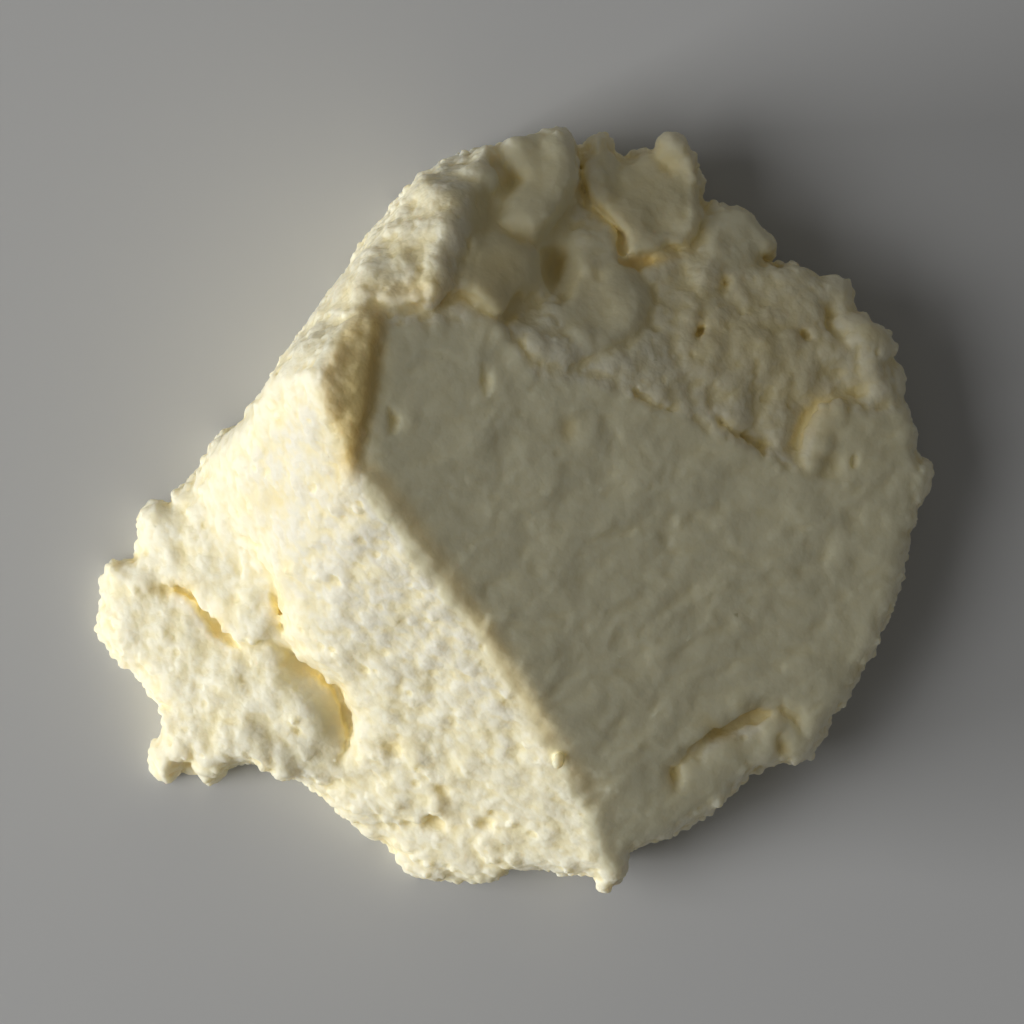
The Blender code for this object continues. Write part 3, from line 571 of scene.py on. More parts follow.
def base_field(grid):
    """The field of the lump and its ledge, worked out near their surface and filled by sign elsewhere."""
    x2, y2 = grid.x[:, :, 0], grid.y[:, :, 0]
    up, ledge = upper_surface(x2, y2).astype(f32), ledge_surface(x2, y2).astype(f32)
    up_slope, ledge_slope = steepness(up, grid.h), steepness(ledge, grid.h)
    wobble = 0.25 * plan_noise(x2 / 2.1 + 30, y2 / 2.1 + 30, 41) + 0.14 * plan_noise(x2 / 0.9 + 30, y2 / 0.9 + 30, 42)
    plan = (polygon(x2, y2, LUMP_PLAN) + wobble + 0.05).astype(f32)
    ledge_plan = (polygon(x2, y2, LEDGE_PLAN) + wobble + 0.05).astype(f32)
    # beneath its upper edge the side is rounder than the edge, so that tabs and spurs overhang
    rounder = (polygon(x2, y2, LUMP_PLAN) + 0 * wobble).astype(f32)
    rounder = eased(box_mean(rounder, round(2.2 / grid.h)), 4) + 0.45
    wall = ((x2 - WALL_AT[0]) * WALL_NORMAL[0] + (y2 - WALL_AT[1]) * WALL_NORMAL[1]).astype(f32)
    shoulder = (1.6 + 4.4 * ramp(y2 + 0.3 * x2, 16, 24) * (1 - ramp(x2, -4, 6)) + 0 * x2).astype(f32)
    joint = (0.5 + 3.0 * ramp(y2 + 0 * x2, -8.0, -2.0)).astype(f32)
    F = np.empty(grid.n, f32)
    block = 12
    h = grid.h
    for k in range(0, grid.n[2], block):
        z = grid.z[:, :, k : k + block]
        z_mid = float(grid.low[2] + h * (k + 0.5 * block))
        for i in range(0, grid.n[0], block):
            for j in range(0, grid.n[1], block):
                s2 = (slice(i, i + block), slice(j, j + block))
                where = s2 + (slice(k, k + block),)
                above = z_mid - np.maximum(up[s2].max(), ledge[s2].max())
                outside = min(float(plan[s2].min()), float(ledge_plan[s2].min()))
                if above > 0.5 * block * h + 4.0 or outside > 5.0:
                    F[where] = 6.0
                    continue
                deep = z_mid - up[s2].min()
                if deep < -(0.5 * block * h + 9.0) and plan[s2].max() < -9.0 and wall[s2].max() < -9.0 - 0.14 * z_mid:
                    F[where] = -6.0
                    continue
                p = plan[s2][:, :, None]
                low = ramp(up[s2][:, :, None] - z, 4.0, 9.0)
                p = p + (smax(p, rounder[s2][:, :, None], 0.8) - p) * low
                f = (z - up[s2][:, :, None]) * up_slope[s2][:, :, None]
                f = smax(f, (wall[s2][:, :, None] + z * WALL_LEAN) * 0.9914, shoulder[s2][:, :, None])
                foot = 0.10 * np.maximum(2.0 - z, 0) ** 2
                f = smax(f, p + 0.03 * np.maximum(z - 5, 0) + foot, 2.2)
                g = (z - ledge[s2][:, :, None]) * ledge_slope[s2][:, :, None]
                g = smax(g, ledge_plan[s2][:, :, None] + foot, 3.0)
                F[where] = smin(f, g, joint[s2][:, :, None])
    return F


def surface_points(F, grid):
    """Points of the field's surface, one for each voxel it crosses, and their outward normals."""
    s = F < 0
    crossing = np.zeros([n - 1 for n in F.shape], bool)
    first = s[:-1, :-1, :-1]
    for dx, dy, dz in ((1, 0, 0), (0, 1, 0), (0, 0, 1), (1, 1, 1), (1, 1, 0), (0, 1, 1), (1, 0, 1)):
        crossing |= first != s[dx : dx + crossing.shape[0], dy : dy + crossing.shape[1], dz : dz + crossing.shape[2]]
    at = np.argwhere(crossing)
    at = at[(at > 0).all(axis=1) & (at < np.array(crossing.shape) - 1).all(axis=1)]
    i, j, k = at.T
    value = np.zeros(len(at), f32)
    for dx in (0, 1):
        for dy in (0, 1):
            for dz in (0, 1):
                value += F[i + dx, j + dy, k + dz] / 8
    g = np.stack(
        [
            (F[i + 1, j, k] + F[i + 1, j + 1, k + 1] - F[i, j, k] - F[i, j + 1, k + 1]),
            (F[i, j + 1, k] + F[i + 1, j + 1, k + 1] - F[i, j, k] - F[i + 1, j, k + 1]),
            (F[i, j, k + 1] + F[i + 1, j + 1, k + 1] - F[i, j, k] - F[i + 1, j + 1, k]),
        ],
        1,
    ) / (2 * grid.h)
    steep = np.linalg.norm(g, axis=1) + 1e-6
    n = g / steep[:, None]
    p = grid.low + grid.h * (at + 0.5) - n * (value / steep)[:, None]
    return p.astype(f32), n.astype(f32)


def spread(points, spacing, rng, keep):
    """A random choice of the kept points, one from each cube of the spacing."""
    order = rng.permutation(len(points))
    order = order[keep[order]]
    cell = np.floor(points[order] / spacing + rng.random(3)).astype(np.int64)
    key = (cell[:, 0] * 4096 + cell[:, 1]) * 4096 + cell[:, 2]
    return order[np.unique(key, return_index=True)[1]]


def stud(F, grid, points, normals, radius, proud, k, rng, squash=0.25):
    """Presses a grain of curd into the surface at each point, so that it stands proud by its own amount."""
    centres = points - normals * (radius - proud)[:, None]
    behind = sample(F, grid, centres)
    if k > 0.4:
        # a clump on a thin or sharp place would show as a ball
        for axis in range(3):
            for sign in (-1, 1):
                reach = centres.copy()
                reach[:, axis] += sign * radius
                behind = np.where(sample(F, grid, reach) > 0.45 * radius, 1.0, behind)
    for c, r, out, deep in zip(centres, radius, proud, behind):
        shape = 1 + squash * rng.uniform(-1, 1, 3)
        if deep > -0.62 * (r - out):
            continue
        found = grid.window(c, [r * 1.3 + k + grid.h] * 3)
        if not found:
            continue
        where, x, y, z = found
        d = np.sqrt(((x - c[0]) / shape[0]) ** 2 + ((y - c[1]) / shape[1]) ** 2 + ((z - c[2]) / shape[2]) ** 2) - r
        F[where] = smin(F[where], d, k)


def pit(F, grid, points, normals, radius, sunk, k, rng):
    for p, n, r, deep in zip(points, normals, radius, sunk):
        c = p + n * (r - deep)
        shape = 1 + 0.35 * rng.uniform(-1, 1, 3)
        found = grid.window(c, [r * 1.4 + k + grid.h] * 3)
        if not found:
            continue
        where, x, y, z = found
        d = np.sqrt(((x - c[0]) / shape[0]) ** 2 + ((y - c[1]) / shape[1]) ** 2 + ((z - c[2]) / shape[2]) ** 2) - r
        F[where] = smax(F[where], -d, k)


# Painted shade, a darker yellow painted into cracks, slots, hollows and the rough zone, and a painted glow on the strip
# by the crest: place, radii, turn, amount
PAINTED_SHADE_PLACES = (
    ((-15.2, 11.4), (2.4, 8.6), -10, 1.0), ((-17.8, -20.2), (1.9, 4.6), -10, 0.75), ((-20.4, -15.4), (2.8, 1.5), -40, 0.6),
    ((-23.6, -9.6), (0.9, 3.6), -14, 0.7), ((-29.6, -11.2), (0.9, 2.2), -35, 0.8), ((-34.0, -7.2), (3.6, 0.8), 4, 0.7),
    ((20.4, -21.4), (3.0, 0.7), -38, 0.65), ((24.2, -19.4), (2.2, 0.6), -16, 0.6), ((15.7, -26.4), (0.8, 2.2), 0, 0.5),
    ((27.0, -23.2), (0.7, 1.5), 20, 0.8), ((4.2, 24.9), (1.5, 2.0), 0, 0.8), ((0.1, 19.2), (1.2, 1.0), 20, 0.8),
    ((-3.4, 29.6), (1.3, 3.8), 4, 0.70), ((13.8, 25.2), (2.8, 0.7), 8, 0.95), ((8.6, 30.4), (0.7, 3.0), 40, 0.8),
    ((-10.2, 25.6), (2.6, 2.2), 0, 0.55), ((-7.0, 30.0), (2.2, 1.8), 0, 0.5), ((18.5, 18.2), (0.8, 1.4), 0, 0.8),
    ((31.0, 8.6), (1.6, 2.2), 0, 0.3), ((5.4, 8.4), (0.9, 1.6), -10, 0.6), ((-7.6, 22.6), (4.0, 1.4), -10, 0.35),
    ((-1.3, 23.6), (4.4, 4.8), 0, 0.55), ((13.0, 31.4), (6.6, 7.0), 0, 0.50), ((24.0, 17.0), (14.0, 9.0), -24, 0.60),
    ((8.4, 22.0), (6.0, 6.0), 0, 0.35), ((2.6, 32.4), (4.6, 6.0), 0, 0.35),
    ((-24.0, 1.4), (2.6, 1.4), 20, 0.5), ((-11.6, -22.8), (2.4, 1.2), 20, 0.4), ((-6.8, -29.4), (1.6, 2.6), 25, 0.4),
)


def painted_shade(p):
    """How much painted shade, a darker yellow, each point takes, from 0 to 1; on the strip by the crest it stands for a
    glow of light through thin curd.
    """
    out = np.zeros(len(p), f32)
    for (cx, cy), (rx, ry), turn, amount in PAINTED_SHADE_PLACES:
        u, v, _ = turned(p[:, 0] - cx, p[:, 1] - cy, 0, turn, 0, 0)
        out = np.maximum(out, amount * np.exp(-((u / rx) ** 2 + (v / ry) ** 2) * 1.2))
    return out * ramp(p[:, 2], 4, 7)


def painted_glow(p):
    """Painted light at each point, from 0 to 1: a painted glow of light through thin curd on the strip by the crest and
    its groove, a painted warm penumbra on the crest's far side, and painted glow in a few named places.
    """
    x, y, z = p[:, 0], p[:, 1], p[:, 2]
    over = beside(x, y, CREST_LINE)
    groove = np.interp(y, STRIP_Y, STRIP_GROOVE)
    ends = ramp(y, 2.5, 6.0) * (1 - ramp(y, 18, 22))
    strip = 0.60 * ramp(over, -0.4, 0.9) * (1 - ramp(x - groove, 0.2, 1.2)) * ends
    line = 0.95 * np.exp(-(((x - groove + 0.2) / 0.95) ** 2)) * ends
    band = 0.42 * np.exp(-(((over - 0.6) / 1.1) ** 2)) * (1 - ramp(y, 3, 7)) * ramp(y, -31, -24) * ramp(np.hypot(x - 4.4, y + 24.2), 1.0, 2.2)
    place = np.zeros(len(p), f32)
    for (cx, cy), (rx, ry), turn, amount in (((-10.0, 21.4), (5.6, 1.5), -4, 0.42), ((-1.3, 23.6), (4.2, 4.4), 0, 0.22), ((13.4, 25.2), (3.2, 0.7), 8, 0.5)):
        u, v, _ = turned(x - cx, y - cy, 0, turn, 0, 0)
        place = np.maximum(place, amount * np.exp(-((u / rx) ** 2 + (v / ry) ** 2) * 1.2))
    return np.clip(np.maximum(np.maximum(strip, line), np.maximum(band, place)), 0, 1) * ramp(z, 9, 12)


def smoothness(p):
    """How smooth the surface is at each point, from 0, torn curd, to 1, smeared by the knife."""
    x, y, z = p[:, 0], p[:, 1], p[:, 2]
    past = beside(x, y, SMEAR_EDGE)
    on_cut = ramp(z - knife_height(x, y), -1.1, -0.45) * ramp(-past, -0.1, 0.8)
    on_cut *= ramp(beside(x, y, SMEAR_LEFT), -0.3, 0.7)
    edge = polygon(x, y, LUMP_PLAN)
    on_cut *= 1 - 0.6 * ramp(edge, -1.8, -0.3)
    top = np.zeros_like(x)
    for (cx, cy), (rx, ry), amount in (
        ((2.4, 32.0), (4.0, 6.6), 0.90), ((-1.3, 23.4), (4.3, 4.6), 1.0), ((-2.2, 29.6), (2.2, 5.0), 0.9), ((13.0, 31.0), (6.2, 6.6), 0.70),
        ((9.0, 21.4), (5.4, 6.4), 0.70), ((4.2, 25.0), (2.4, 4.0), 0.9), ((22.6, 27.6), (4.4, 3.6), 0.7), ((-18.4, -20.4), (1.8, 2.8), 0.6),
    ):
        d = np.hypot((x - cx) / rx, (y - cy) / ry)
        top = np.maximum(top, amount * (1 - ramp(d, 0.75, 1.1)) * ramp(z, 9, 11))
    return np.clip(np.maximum(on_cut, top), 0, 1)


def grow():
    grid = Grid((-44.5, -40.5, -1.0), (44.5, 41.0, 38.5), VOXEL)
    F = base_field(grid)
    slots(F, grid, 0.30, SLOTS, upper_surface)
    slots(F, grid, 0.30, [[(x, y, 0.1, r) for x, y, r in PARTING_SLOT]], ledge_surface)
    slots(F, grid, 0.25, [CREASE], lambda x, y: smax(upper_surface(x, y), ledge_surface(x, y), 3.0))
    rods(F, grid, 0.30, WIDE_CRACK, cut=True)
    rods(F, grid, 0.30, SLUMP_CRACK, cut=True)
    for name, k, *spec in CUTS:
        cut_blob(F, grid, k, *spec)
    # the crumb left on the crest
    add_blob(F, grid, 0.35, (4.4, -24.2, 21.0), (0.62, 0.85, 0.62), -20)

    for foot in ((-35.3, -25.7, 1.0), (-30.9, -25.7, 1.0), (-33.0, -25.0, 0.8)):
        add_blob(F, grid, 0.8, foot, (1.1, 1.3, 1.6))

    # slow unevenness everywhere, little on the smeared slope
    past = beside(grid.x, grid.y, SMEAR_EDGE)
    knife = knife_height(grid.x, grid.y)
    near_cut = (1 - ramp(np.abs(grid.z - knife), 1.2, 3.2)) * ramp(-past, -1.0, 1.0)
    slow = 0.36 * lattice_noise(grid, 2.6, 21) + 0.12 * lattice_noise(grid, 1.2, 22)
    quiet = 0.42 + 0.38 * (1 - ramp(grid.z, 8.0, 15.0))
    quiet = quiet + (1.0 - quiet) * ramp(past, 0.0, 3.0) * ramp(grid.x, -6.0, 2.0)
    F += slow * (1 - 0.85 * near_cut) * quiet
    del slow, near_cut, knife
    F = np.maximum(F, -grid.z)
    base = F.copy()

    rng = np.random.default_rng(2026)
    p, n = surface_points(F, grid)
    smooth = smoothness(p)
    # clumps of curd, 2 to 3 mm
    pick = spread(p, 2.0, rng, (p[:, 2] > 0.5) & (smooth < 0.5))
    r = rng.uniform(0.9, 1.5, len(pick))
    side_on = ramp(-np.abs(n[pick, 2]), -0.75, -0.35)
    out = r * rng.uniform(-0.02, 0.05 + 0.07 * side_on) * (1 - smooth[pick]) * (1 - 0.6 * ramp(p[pick, 2], 9, 16))
    stud(F, grid, p[pick], n[pick], r, out, 0.5, rng)
    print("clumps", len(pick))
    # grains, 0.5 to 1 mm, standing further out on the flanks
    p, n = surface_points(F, grid)
    smooth = smoothness(p)
    pick = spread(p, 0.74, rng, (p[:, 2] > 0.3) & (smooth < 0.95))
    r = rng.uniform(0.30, 0.60, len(pick))
    side_on = ramp(-np.abs(n[pick, 2]), -0.70, -0.30) * (1 - 0.75 * ramp(p[pick, 2], 8, 15))
    out = r * rng.uniform(0.03, 0.24 + 0.32 * side_on) * (1 - 0.92 * smooth[pick])
    out *= 1 - 0.45 * ramp(p[pick, 2], 9, 16) * (p[pick, 0] < -1.0 + 0.42 * -(p[pick, 1] + 10.0))
    stud(F, grid, p[pick], n[pick], r, out, 0.20, rng)
    print("grains", len(pick))
    # crumbs that stand out on the flanks
    p, n = surface_points(F, grid)
    smooth = smoothness(p)
    pick = spread(p, 1.3, rng, (p[:, 2] > 1.0) & (smooth < 0.5) & (np.abs(n[:, 2]) < 0.5))
    pick = pick[rng.random(len(pick)) < 0.75 - 0.65 * ramp(p[pick, 2], 7, 14)]
    r = rng.uniform(0.28, 0.58, len(pick))
    stud(F, grid, p[pick], n[pick], r, r * rng.uniform(0.25, 0.85, len(pick)), 0.14, rng)
    print("crumbs", len(pick))
    # small pits between them
    p, n = surface_points(F, grid)
    smooth = smoothness(p)
    pick = spread(p, 2.0, rng, (p[:, 2] > 1.0) & (smooth < 0.6))
    pick = pick[rng.random(len(pick)) < 0.22]
    r = rng.uniform(0.22, 0.42, len(pick))
    pit(F, grid, p[pick], n[pick], r, r * rng.uniform(0.3, 0.8, len(pick)), 0.22, rng)
    F += 0.024 * lattice_noise(grid, 0.36, 23)
    F = smax(F, -grid.z, 0.05)
    return grid, F, base


# ---------------------------------------------------------------- from field to mesh


def surface_net(F, grid):
    """One vertex in each voxel that the surface crosses, and one quad for each grid edge that it crosses."""
    s = F < 0
    shape = tuple(n - 1 for n in F.shape)
    corners = [(i, j, k) for i in (0, 1) for j in (0, 1) for k in (0, 1)]
    total = np.zeros(shape, np.uint8)
    for i, j, k in corners:
        total += s[i : i + shape[0], j : j + shape[1], k : k + shape[2]]
    cells = np.argwhere((total > 0) & (total < 8))
    del total
    ci, cj, ck = cells.T
    value = {c: F[ci + c[0], cj + c[1], ck + c[2]] for c in corners}
    place, count = np.zeros((len(cells), 3), f32), np.zeros(len(cells), f32)
    for c in corners:
        for axis in range(3):
            if c[axis]:
                continue
            d = tuple(v + (a == axis) for a, v in enumerate(c))
            a, b = value[c], value[d]
            hit = (a < 0) != (b < 0)
            t = np.where(hit, a / np.where(hit, a - b, 1), 0)
            for m in range(3):
                place[:, m] += hit * (c[m] + (t if m == axis else 0))
            count += hit
    place = place / count[:, None] + cells
    ids = np.full(shape, -1, np.int32)
    ids[ci, cj, ck] = np.arange(len(cells))
    quads = []
    for axis in range(3):
        b, c = (axis + 1) % 3, (axis + 2) % 3
        low = [slice(1, -1)] * 3
        high = [slice(1, -1)] * 3
        low[axis] = slice(0, -1)
        high[axis] = slice(1, None)
        one, two = s[tuple(low)], s[tuple(high)]
        at = np.argwhere(one != two)
        inside_first = one[tuple(at.T)]
        at = at + np.array([0 if a == axis else 1 for a in range(3)])
        ring = []
        for db, dc in ((0, 0), (-1, 0), (-1, -1), (0, -1)):
            q = at.copy()
            q[:, b] += db
            q[:, c] += dc
            ring.append(ids[tuple(q.T)])
        ring = np.stack(ring, 1)
        ring[~inside_first] = ring[~inside_first][:, ::-1]
        quads.append(ring)
    quads = np.concatenate(quads)
    quads = quads[(quads >= 0).all(axis=1)]
    return (grid.low + grid.h * place).astype(f32), quads


def largest_piece(points, quads):
    """Drops loose specks and sealed bubbles: keeps the faces of the biggest connected surface."""
    label = np.arange(len(points))
    ends = np.concatenate([quads[:, [0, 1]], quads[:, [1, 2]], quads[:, [2, 3]]])
    for _ in range(200):
        low = np.minimum(label[ends[:, 0]], label[ends[:, 1]])
        before = label.copy()
        np.minimum.at(label, ends[:, 0], low)
        np.minimum.at(label, ends[:, 1], low)
        label = label[label]
        label = label[label]
        if (label == before).all():
            break
    names, counts = np.unique(label, return_counts=True)
    keep = label == names[counts.argmax()]
    renumber = np.cumsum(keep) - 1
    return points[keep], renumber[quads[keep[quads[:, 0]]]]


def mesh_object(name, points, faces):
    mesh = bpy.data.meshes.new(name)
    mesh.vertices.add(len(points))
    mesh.vertices.foreach_set("co", (points * MM).astype(f32).reshape(-1))
    mesh.loops.add(faces.size)
    mesh.loops.foreach_set("vertex_index", faces.astype(np.int32).reshape(-1))
    mesh.polygons.add(len(faces))
    mesh.polygons.foreach_set("loop_start", np.arange(0, faces.size, faces.shape[1], dtype=np.int32))
    mesh.update(calc_edges=True)
    mesh.validate()
    obj = bpy.data.objects.new(name, mesh)
    bpy.context.scene.collection.objects.link(obj)
    return obj


def box_blur(a, r):
    """Mean over a cube of 2r+1 voxels a side."""
    for axis in range(3):
        pad = [(0, 0)] * 3
        pad[axis] = (r + 1, r)
        c = np.cumsum(np.pad(a, pad, mode="edge"), axis=axis, dtype=f32)
        n = a.shape[axis]
        hi = [slice(None)] * 3
        lo = [slice(None)] * 3
        hi[axis] = slice(2 * r + 1, 2 * r + 1 + n)
        lo[axis] = slice(0, n)
        a = (c[tuple(hi)] - c[tuple(lo)]) / (2 * r + 1)
    return a


def sample(A, grid, points):
    u = np.clip((points - grid.low) / grid.h, 0, np.array(A.shape) - 1.001)
    i = np.floor(u).astype(int)
    t = (u - i).astype(f32)
    out = np.zeros(len(points), f32)
    for dx in (0, 1):
        for dy in (0, 1):
            for dz in (0, 1):
                w = (t[:, 0] if dx else 1 - t[:, 0]) * (t[:, 1] if dy else 1 - t[:, 1]) * (t[:, 2] if dz else 1 - t[:, 2])
                out += w * A[i[:, 0] + dx, i[:, 1] + dy, i[:, 2] + dz]
    return out


def make_lump():
    grid, F, base = grow()
    points, quads = surface_net(F, grid)
    points, quads = largest_piece(points, quads)
    low, high = points.min(axis=0), points.max(axis=0)
    print("grown", low, high, len(quads))
    shift = np.array([(CAD_LOW[k] + CAD_HIGH[k]) / 2 / MM - (low[k] + high[k]) / 2 for k in range(2)] + [0.0], f32)
    lump = mesh_object("curd_lump", points, quads)
    thin = lump.modifiers.new("thin", "DECIMATE")
    thin.ratio = min(1.0, MOST_TRIANGLES / (2 * len(quads)))
    bpy.context.view_layer.update()
    graph = bpy.context.evaluated_depsgraph_get()
    made = bpy.data.meshes.new_from_object(lump.evaluated_get(graph), depsgraph=graph)
    lump.modifiers.clear()
    lump.data = made
    co = np.empty(len(made.vertices) * 3, f32)
    made.vertices.foreach_get("co", co)
    co = co.reshape(-1, 3) / MM
    # how enclosed each point is, close up and further out: a flat place is 0.5, a hollow more; the material paints
    # shade into the hollows from these
    solid = np.clip(0.5 - F / (2 * grid.h), 0, 1).astype(f32)
    near = sample(box_blur(solid, max(1, round(0.7 / grid.h))), grid, co)
    wide = sample(box_blur(solid, max(1, round(2.2 / grid.h))), grid, co)
    sunk = sample(base, grid, co)
    # the attributes below carry painted shade for hollows, cracks and the rough zone, painted glow through thin curd,
    # the smearing, and a greyer tone higher up the torn face
    for name, values in (("near_hollow", near), ("wide_hollow", wide), ("sunk", sunk), ("smeared", smoothness(co)), ("painted_shade", painted_shade(co)), ("painted_glow", painted_glow(co)), ("pale", ramp(co[:, 2], 15, 27) * (1 - smoothness(co)) * (co[:, 0] < 0) * (1 - ramp(beside(co[:, 0], co[:, 1], CREST_LINE), -1.4, 0.0)) * (1 - ramp(co[:, 1] - 0.9 * co[:, 0], 27, 31)))):
        made.attributes.new(name, "FLOAT", "POINT").data.foreach_set("value", values.astype(f32))
    made.vertices.foreach_set("co", ((co + shift) * MM).astype(f32).reshape(-1))
    made.polygons.foreach_set("use_smooth", np.ones(len(made.polygons), bool))
    made.update()
    print("lump", len(made.polygons), "faces; shift", shift)
    return lump


# ---------------------------------------------------------------- materials


def node(tree, kind, at, **inputs):
    made = tree.nodes.new(kind)
    made.location = at
    for name, value in inputs.items():
        made.inputs[name.replace("_", " ")].default_value = value
    return made


def curd_material():
    material = bpy.data.materials.new("fresh_curd")
    material.use_nodes = True
    tree = material.node_tree
    shader = tree.nodes["Principled BSDF"]
    shader.subsurface_method = "BURLEY"
    shader.inputs["Subsurface Weight"].default_value = 0.85
    shader.inputs["Subsurface Radius"].default_value = (1.0, 0.78, 0.42)
    shader.inputs["Subsurface Scale"].default_value = 0.0022
    shader.inputs["Specular IOR Level"].default_value = 0.42
    shader.inputs["IOR"].default_value = 1.38
    link = tree.links.new

    def attribute(name, at):
        made = tree.nodes.new("ShaderNodeAttribute")
        made.attribute_name = name
        made.location = at
        return made.outputs["Fac"]

    def mapped(value, low, high, out_low, out_high, at):
        made = tree.nodes.new("ShaderNodeMapRange")
        made.location = at
        made.interpolation_type = "SMOOTHSTEP"
        made.inputs["From Min"].default_value = low
        made.inputs["From Max"].default_value = high
        made.inputs["To Min"].default_value = out_low
        made.inputs["To Max"].default_value = out_high
        link(value, made.inputs["Value"])
        return made.outputs["Result"]

    def mixed(factor, a, b, at, blend="MIX"):
        made = tree.nodes.new("ShaderNodeMix")
        made.data_type = "RGBA"
        made.blend_type = blend
        made.location = at
        for value, socket in ((factor, made.inputs[0]), (a, made.inputs[6]), (b, made.inputs[7])):
            if hasattr(value, "is_linked"):
                link(value, socket)
            else:
                socket.default_value = value
        return made.outputs[2]

    def noise(scale, detail, rough, at, distortion=0.0):
        made = tree.nodes.new("ShaderNodeTexNoise")
        made.location = at
        made.inputs["Scale"].default_value = scale
        made.inputs["Detail"].default_value = detail
        made.inputs["Roughness"].default_value = rough
        made.inputs["Distortion"].default_value = distortion
        link(place.outputs["Object"], made.inputs["Vector"])
        return made.outputs["Fac"]

    place = tree.nodes.new("ShaderNodeTexCoord")
    place.location = (-1700, 0)
    cream = (0.902, 0.850, 0.640, 1)
    # the darker yellow below is painted shade for hollows and recesses
    shade_yellow = (0.800, 0.688, 0.368, 1)
    chalk = (0.915, 0.872, 0.680, 1)
    smear = (0.885, 0.831, 0.575, 1)
    patches = mapped(noise(160, 2, 0.55, (-1450, 300)), 0.35, 0.68, 0, 1, (-1250, 300))
    fine = mapped(noise(900, 1.5, 0.6, (-1450, 100)), 0.32, 0.70, 0, 1, (-1250, 100))
    # near_hollow and wide_hollow mark the recesses where shade is painted in
    hollow = mapped(attribute("near_hollow", (-1450, -150)), 0.46, 0.59, 0, 1, (-1250, -150))
    deep = mapped(attribute("wide_hollow", (-1450, -400)), 0.52, 0.78, 0, 1, (-1250, -400))
    smeared = attribute("smeared", (-1450, -650))
    colour = mixed(patches, cream, chalk, (-1000, 300))
    colour = mixed(smeared, colour, smear, (-820, 300))
    # painted shade colour for small hollows, varied by fine noise
    hollow_shade = mixed(fine, (0.860, 0.772, 0.478, 1), shade_yellow, (-1000, 0))
    # a greyer, darker cream mixed into the torn face higher up
    colour = mixed(mapped(attribute("pale", (-820, 550)), 0, 1, 0, 0.75, (-820, 450)), colour, (0.775, 0.742, 0.620, 1), (-760, 300))
    mottle = mapped(noise(380, 2, 0.55, (-1450, 500)), 0.46, 0.72, 0, 0.60, (-1250, 500))
    torn = mapped(smeared, 0, 1, 1, 0.25, (-1250, 650))
    amount = tree.nodes.new("ShaderNodeMath")
    amount.operation = "MULTIPLY"
    amount.location = (-1100, 600)
    link(mottle, amount.inputs[0])
    link(torn, amount.inputs[1])
    colour = mixed(amount.outputs[0], colour, (0.885, 0.793, 0.480, 1), (-700, 400))
    # painted shade in small hollows, less of it on the smear
    spared = mapped(smeared, 0, 1, 0.72, 0.30, (-1250, -250))
    half_mix = tree.nodes.new("ShaderNodeMath")
    half_mix.operation = "MULTIPLY"
    half_mix.location = (-1000, -200)
    link(hollow, half_mix.inputs[0])
    link(spared, half_mix.inputs[1])
    half = half_mix.outputs[0]
    colour = mixed(half, colour, hollow_shade, (-620, 200))
    # painted shade in wide hollows
    most = mapped(deep, 0, 1, 0, 0.6, (-1000, -420))
    colour = mixed(most, colour, shade_yellow, (-420, 200))
    # painted shade in cracks, slots, hollows and the rough zone, and painted glow on the strip by the crest
    colour = mixed(attribute("painted_shade", (-620, -200)), colour, (0.785, 0.655, 0.325, 1), (-300, 200))
    # painted glow of light through thin curd and painted warm penumbra by the crest
    colour = mixed(attribute("painted_glow", (-480, -350)), colour, (0.880, 0.655, 0.250, 1), (-160, 200))
    link(colour, shader.inputs["Base Color"])
    damp = mapped(noise(420, 1.5, 0.6, (-1000, -600)), 0.3, 0.7, 0.48, 0.66, (-800, -600))
    link(damp, shader.inputs["Roughness"])
    # the grain finer than the mesh holds
    grain = noise(1700, 1, 0.5, (-1000, -850))
    cells = tree.nodes.new("ShaderNodeTexVoronoi")
    cells.location = (-1000, -1100)
    cells.feature = "F1"
    cells.inputs["Scale"].default_value = 1150
    link(place.outputs["Object"], cells.inputs["Vector"])
    add = tree.nodes.new("ShaderNodeMath")
    add.operation = "SUBTRACT"
    add.location = (-780, -950)
    link(grain, add.inputs[0])
    link(cells.outputs["Distance"], add.inputs[1])
    bump = tree.nodes.new("ShaderNodeBump")
    bump.location = (-560, -900)
    bump.inputs["Strength"].default_value = 0.45
    bump.inputs["Distance"].default_value = 0.00020
    quiet = mapped(smeared, 0, 1, 1.0, 0.45, (-1000, -1350))
    scaled = tree.nodes.new("ShaderNodeMath")
    scaled.operation = "MULTIPLY"
    scaled.location = (-660, -1100)
    link(add.outputs[0], scaled.inputs[0])
    link(quiet, scaled.inputs[1])
    link(scaled.outputs[0], bump.inputs["Height"])
    link(bump.outputs["Normal"], shader.inputs["Normal"])
    return material


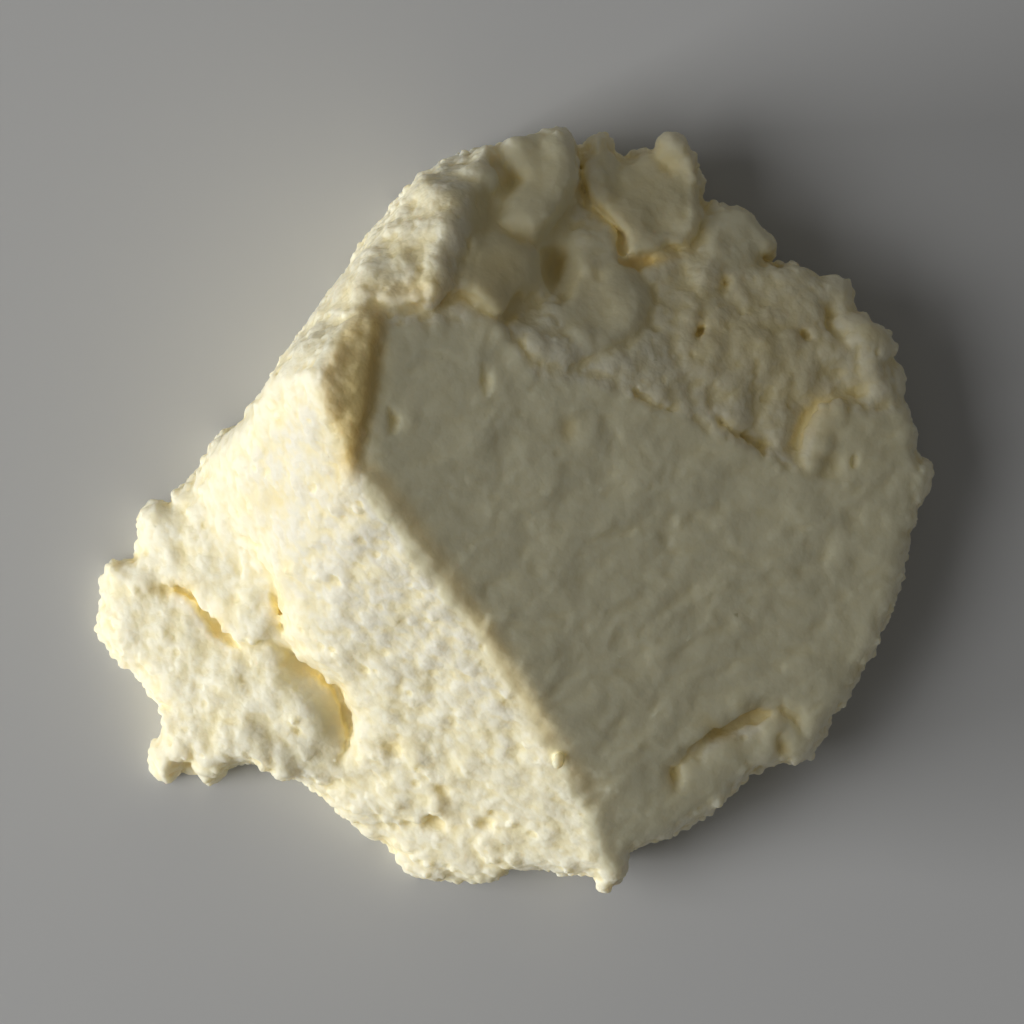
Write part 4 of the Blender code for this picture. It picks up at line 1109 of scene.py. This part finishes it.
def stage_floor():
    mesh = bpy.data.meshes.new("floor")
    r = 3.0
    mesh.from_pydata([(-r, -r, 0), (r, -r, 0), (r, r, 0), (-r, r, 0)], [], [(0, 1, 2, 3)])
    floor = bpy.data.objects.new("floor", mesh)
    floor.location.z = -0.00005
    bpy.context.scene.collection.objects.link(floor)
    material = bpy.data.materials.new("pale_floor")
    material.use_nodes = True
    shader = material.node_tree.nodes["Principled BSDF"]
    shader.inputs["Base Color"].default_value = (0.60, 0.60, 0.60, 1)
    shader.inputs["Roughness"].default_value = 0.7
    mesh.materials.append(material)
    floor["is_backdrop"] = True


def area_light(name, at, target, size, size_y, power, colour=(1, 1, 1)):
    data = bpy.data.lights.new(name, "AREA")
    data.shape = "RECTANGLE"
    data.size, data.size_y = size, size_y
    data.energy = power
    data.color = colour
    light = bpy.data.objects.new(name, data)
    light.location = at
    light.rotation_euler = (Vector(target) - Vector(at)).to_track_quat("-Z", "Y").to_euler()
    bpy.context.scene.collection.objects.link(light)


def sun_at(azimuth, elevation, distance, target):
    """A place at a distance from the target: azimuth 0 is the -X side, turning towards -Y."""
    a, e = math.radians(azimuth), math.radians(elevation)
    return (
        target[0] - distance * math.cos(e) * math.cos(a),
        target[1] - distance * math.cos(e) * math.sin(a),
        target[2] + distance * math.sin(e),
    )


def light_and_camera():
    target = (0.0, 0.0, 0.014)
    area_light("key", sun_at(14, 10.0, 1.1, target), target, 0.50, 0.11, 9.9, (1.0, 1.0, 0.992))
    area_light("fill", sun_at(8, 50, 1.0, target), target, 0.60, 0.60, 2.65, (1.0, 1.0, 0.985))
    world = bpy.data.worlds.new("studio")
    bpy.context.scene.world = world
    world.use_nodes = True
    world.node_tree.nodes["Background"].inputs["Color"].default_value = (1.0, 0.995, 0.98, 1)
    world.node_tree.nodes["Background"].inputs["Strength"].default_value = 0.085
    camera_data = bpy.data.cameras.new("camera")
    camera_data.sensor_width = 36
    camera_data.lens = 36 * 0.588 / 0.1024
    camera_data.clip_start = 0.01
    camera = bpy.data.objects.new("camera", camera_data)
    camera.location = (0.0, 0.0, 0.600)
    bpy.context.scene.collection.objects.link(camera)
    bpy.context.scene.camera = camera
    bpy.context.scene.view_settings.view_transform = "Standard"


lump = make_lump()
lump.data.materials.clear()
lump.data.materials.append(curd_material())
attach(lump, "root")
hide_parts(NODE)
stage_floor()
light_and_camera()
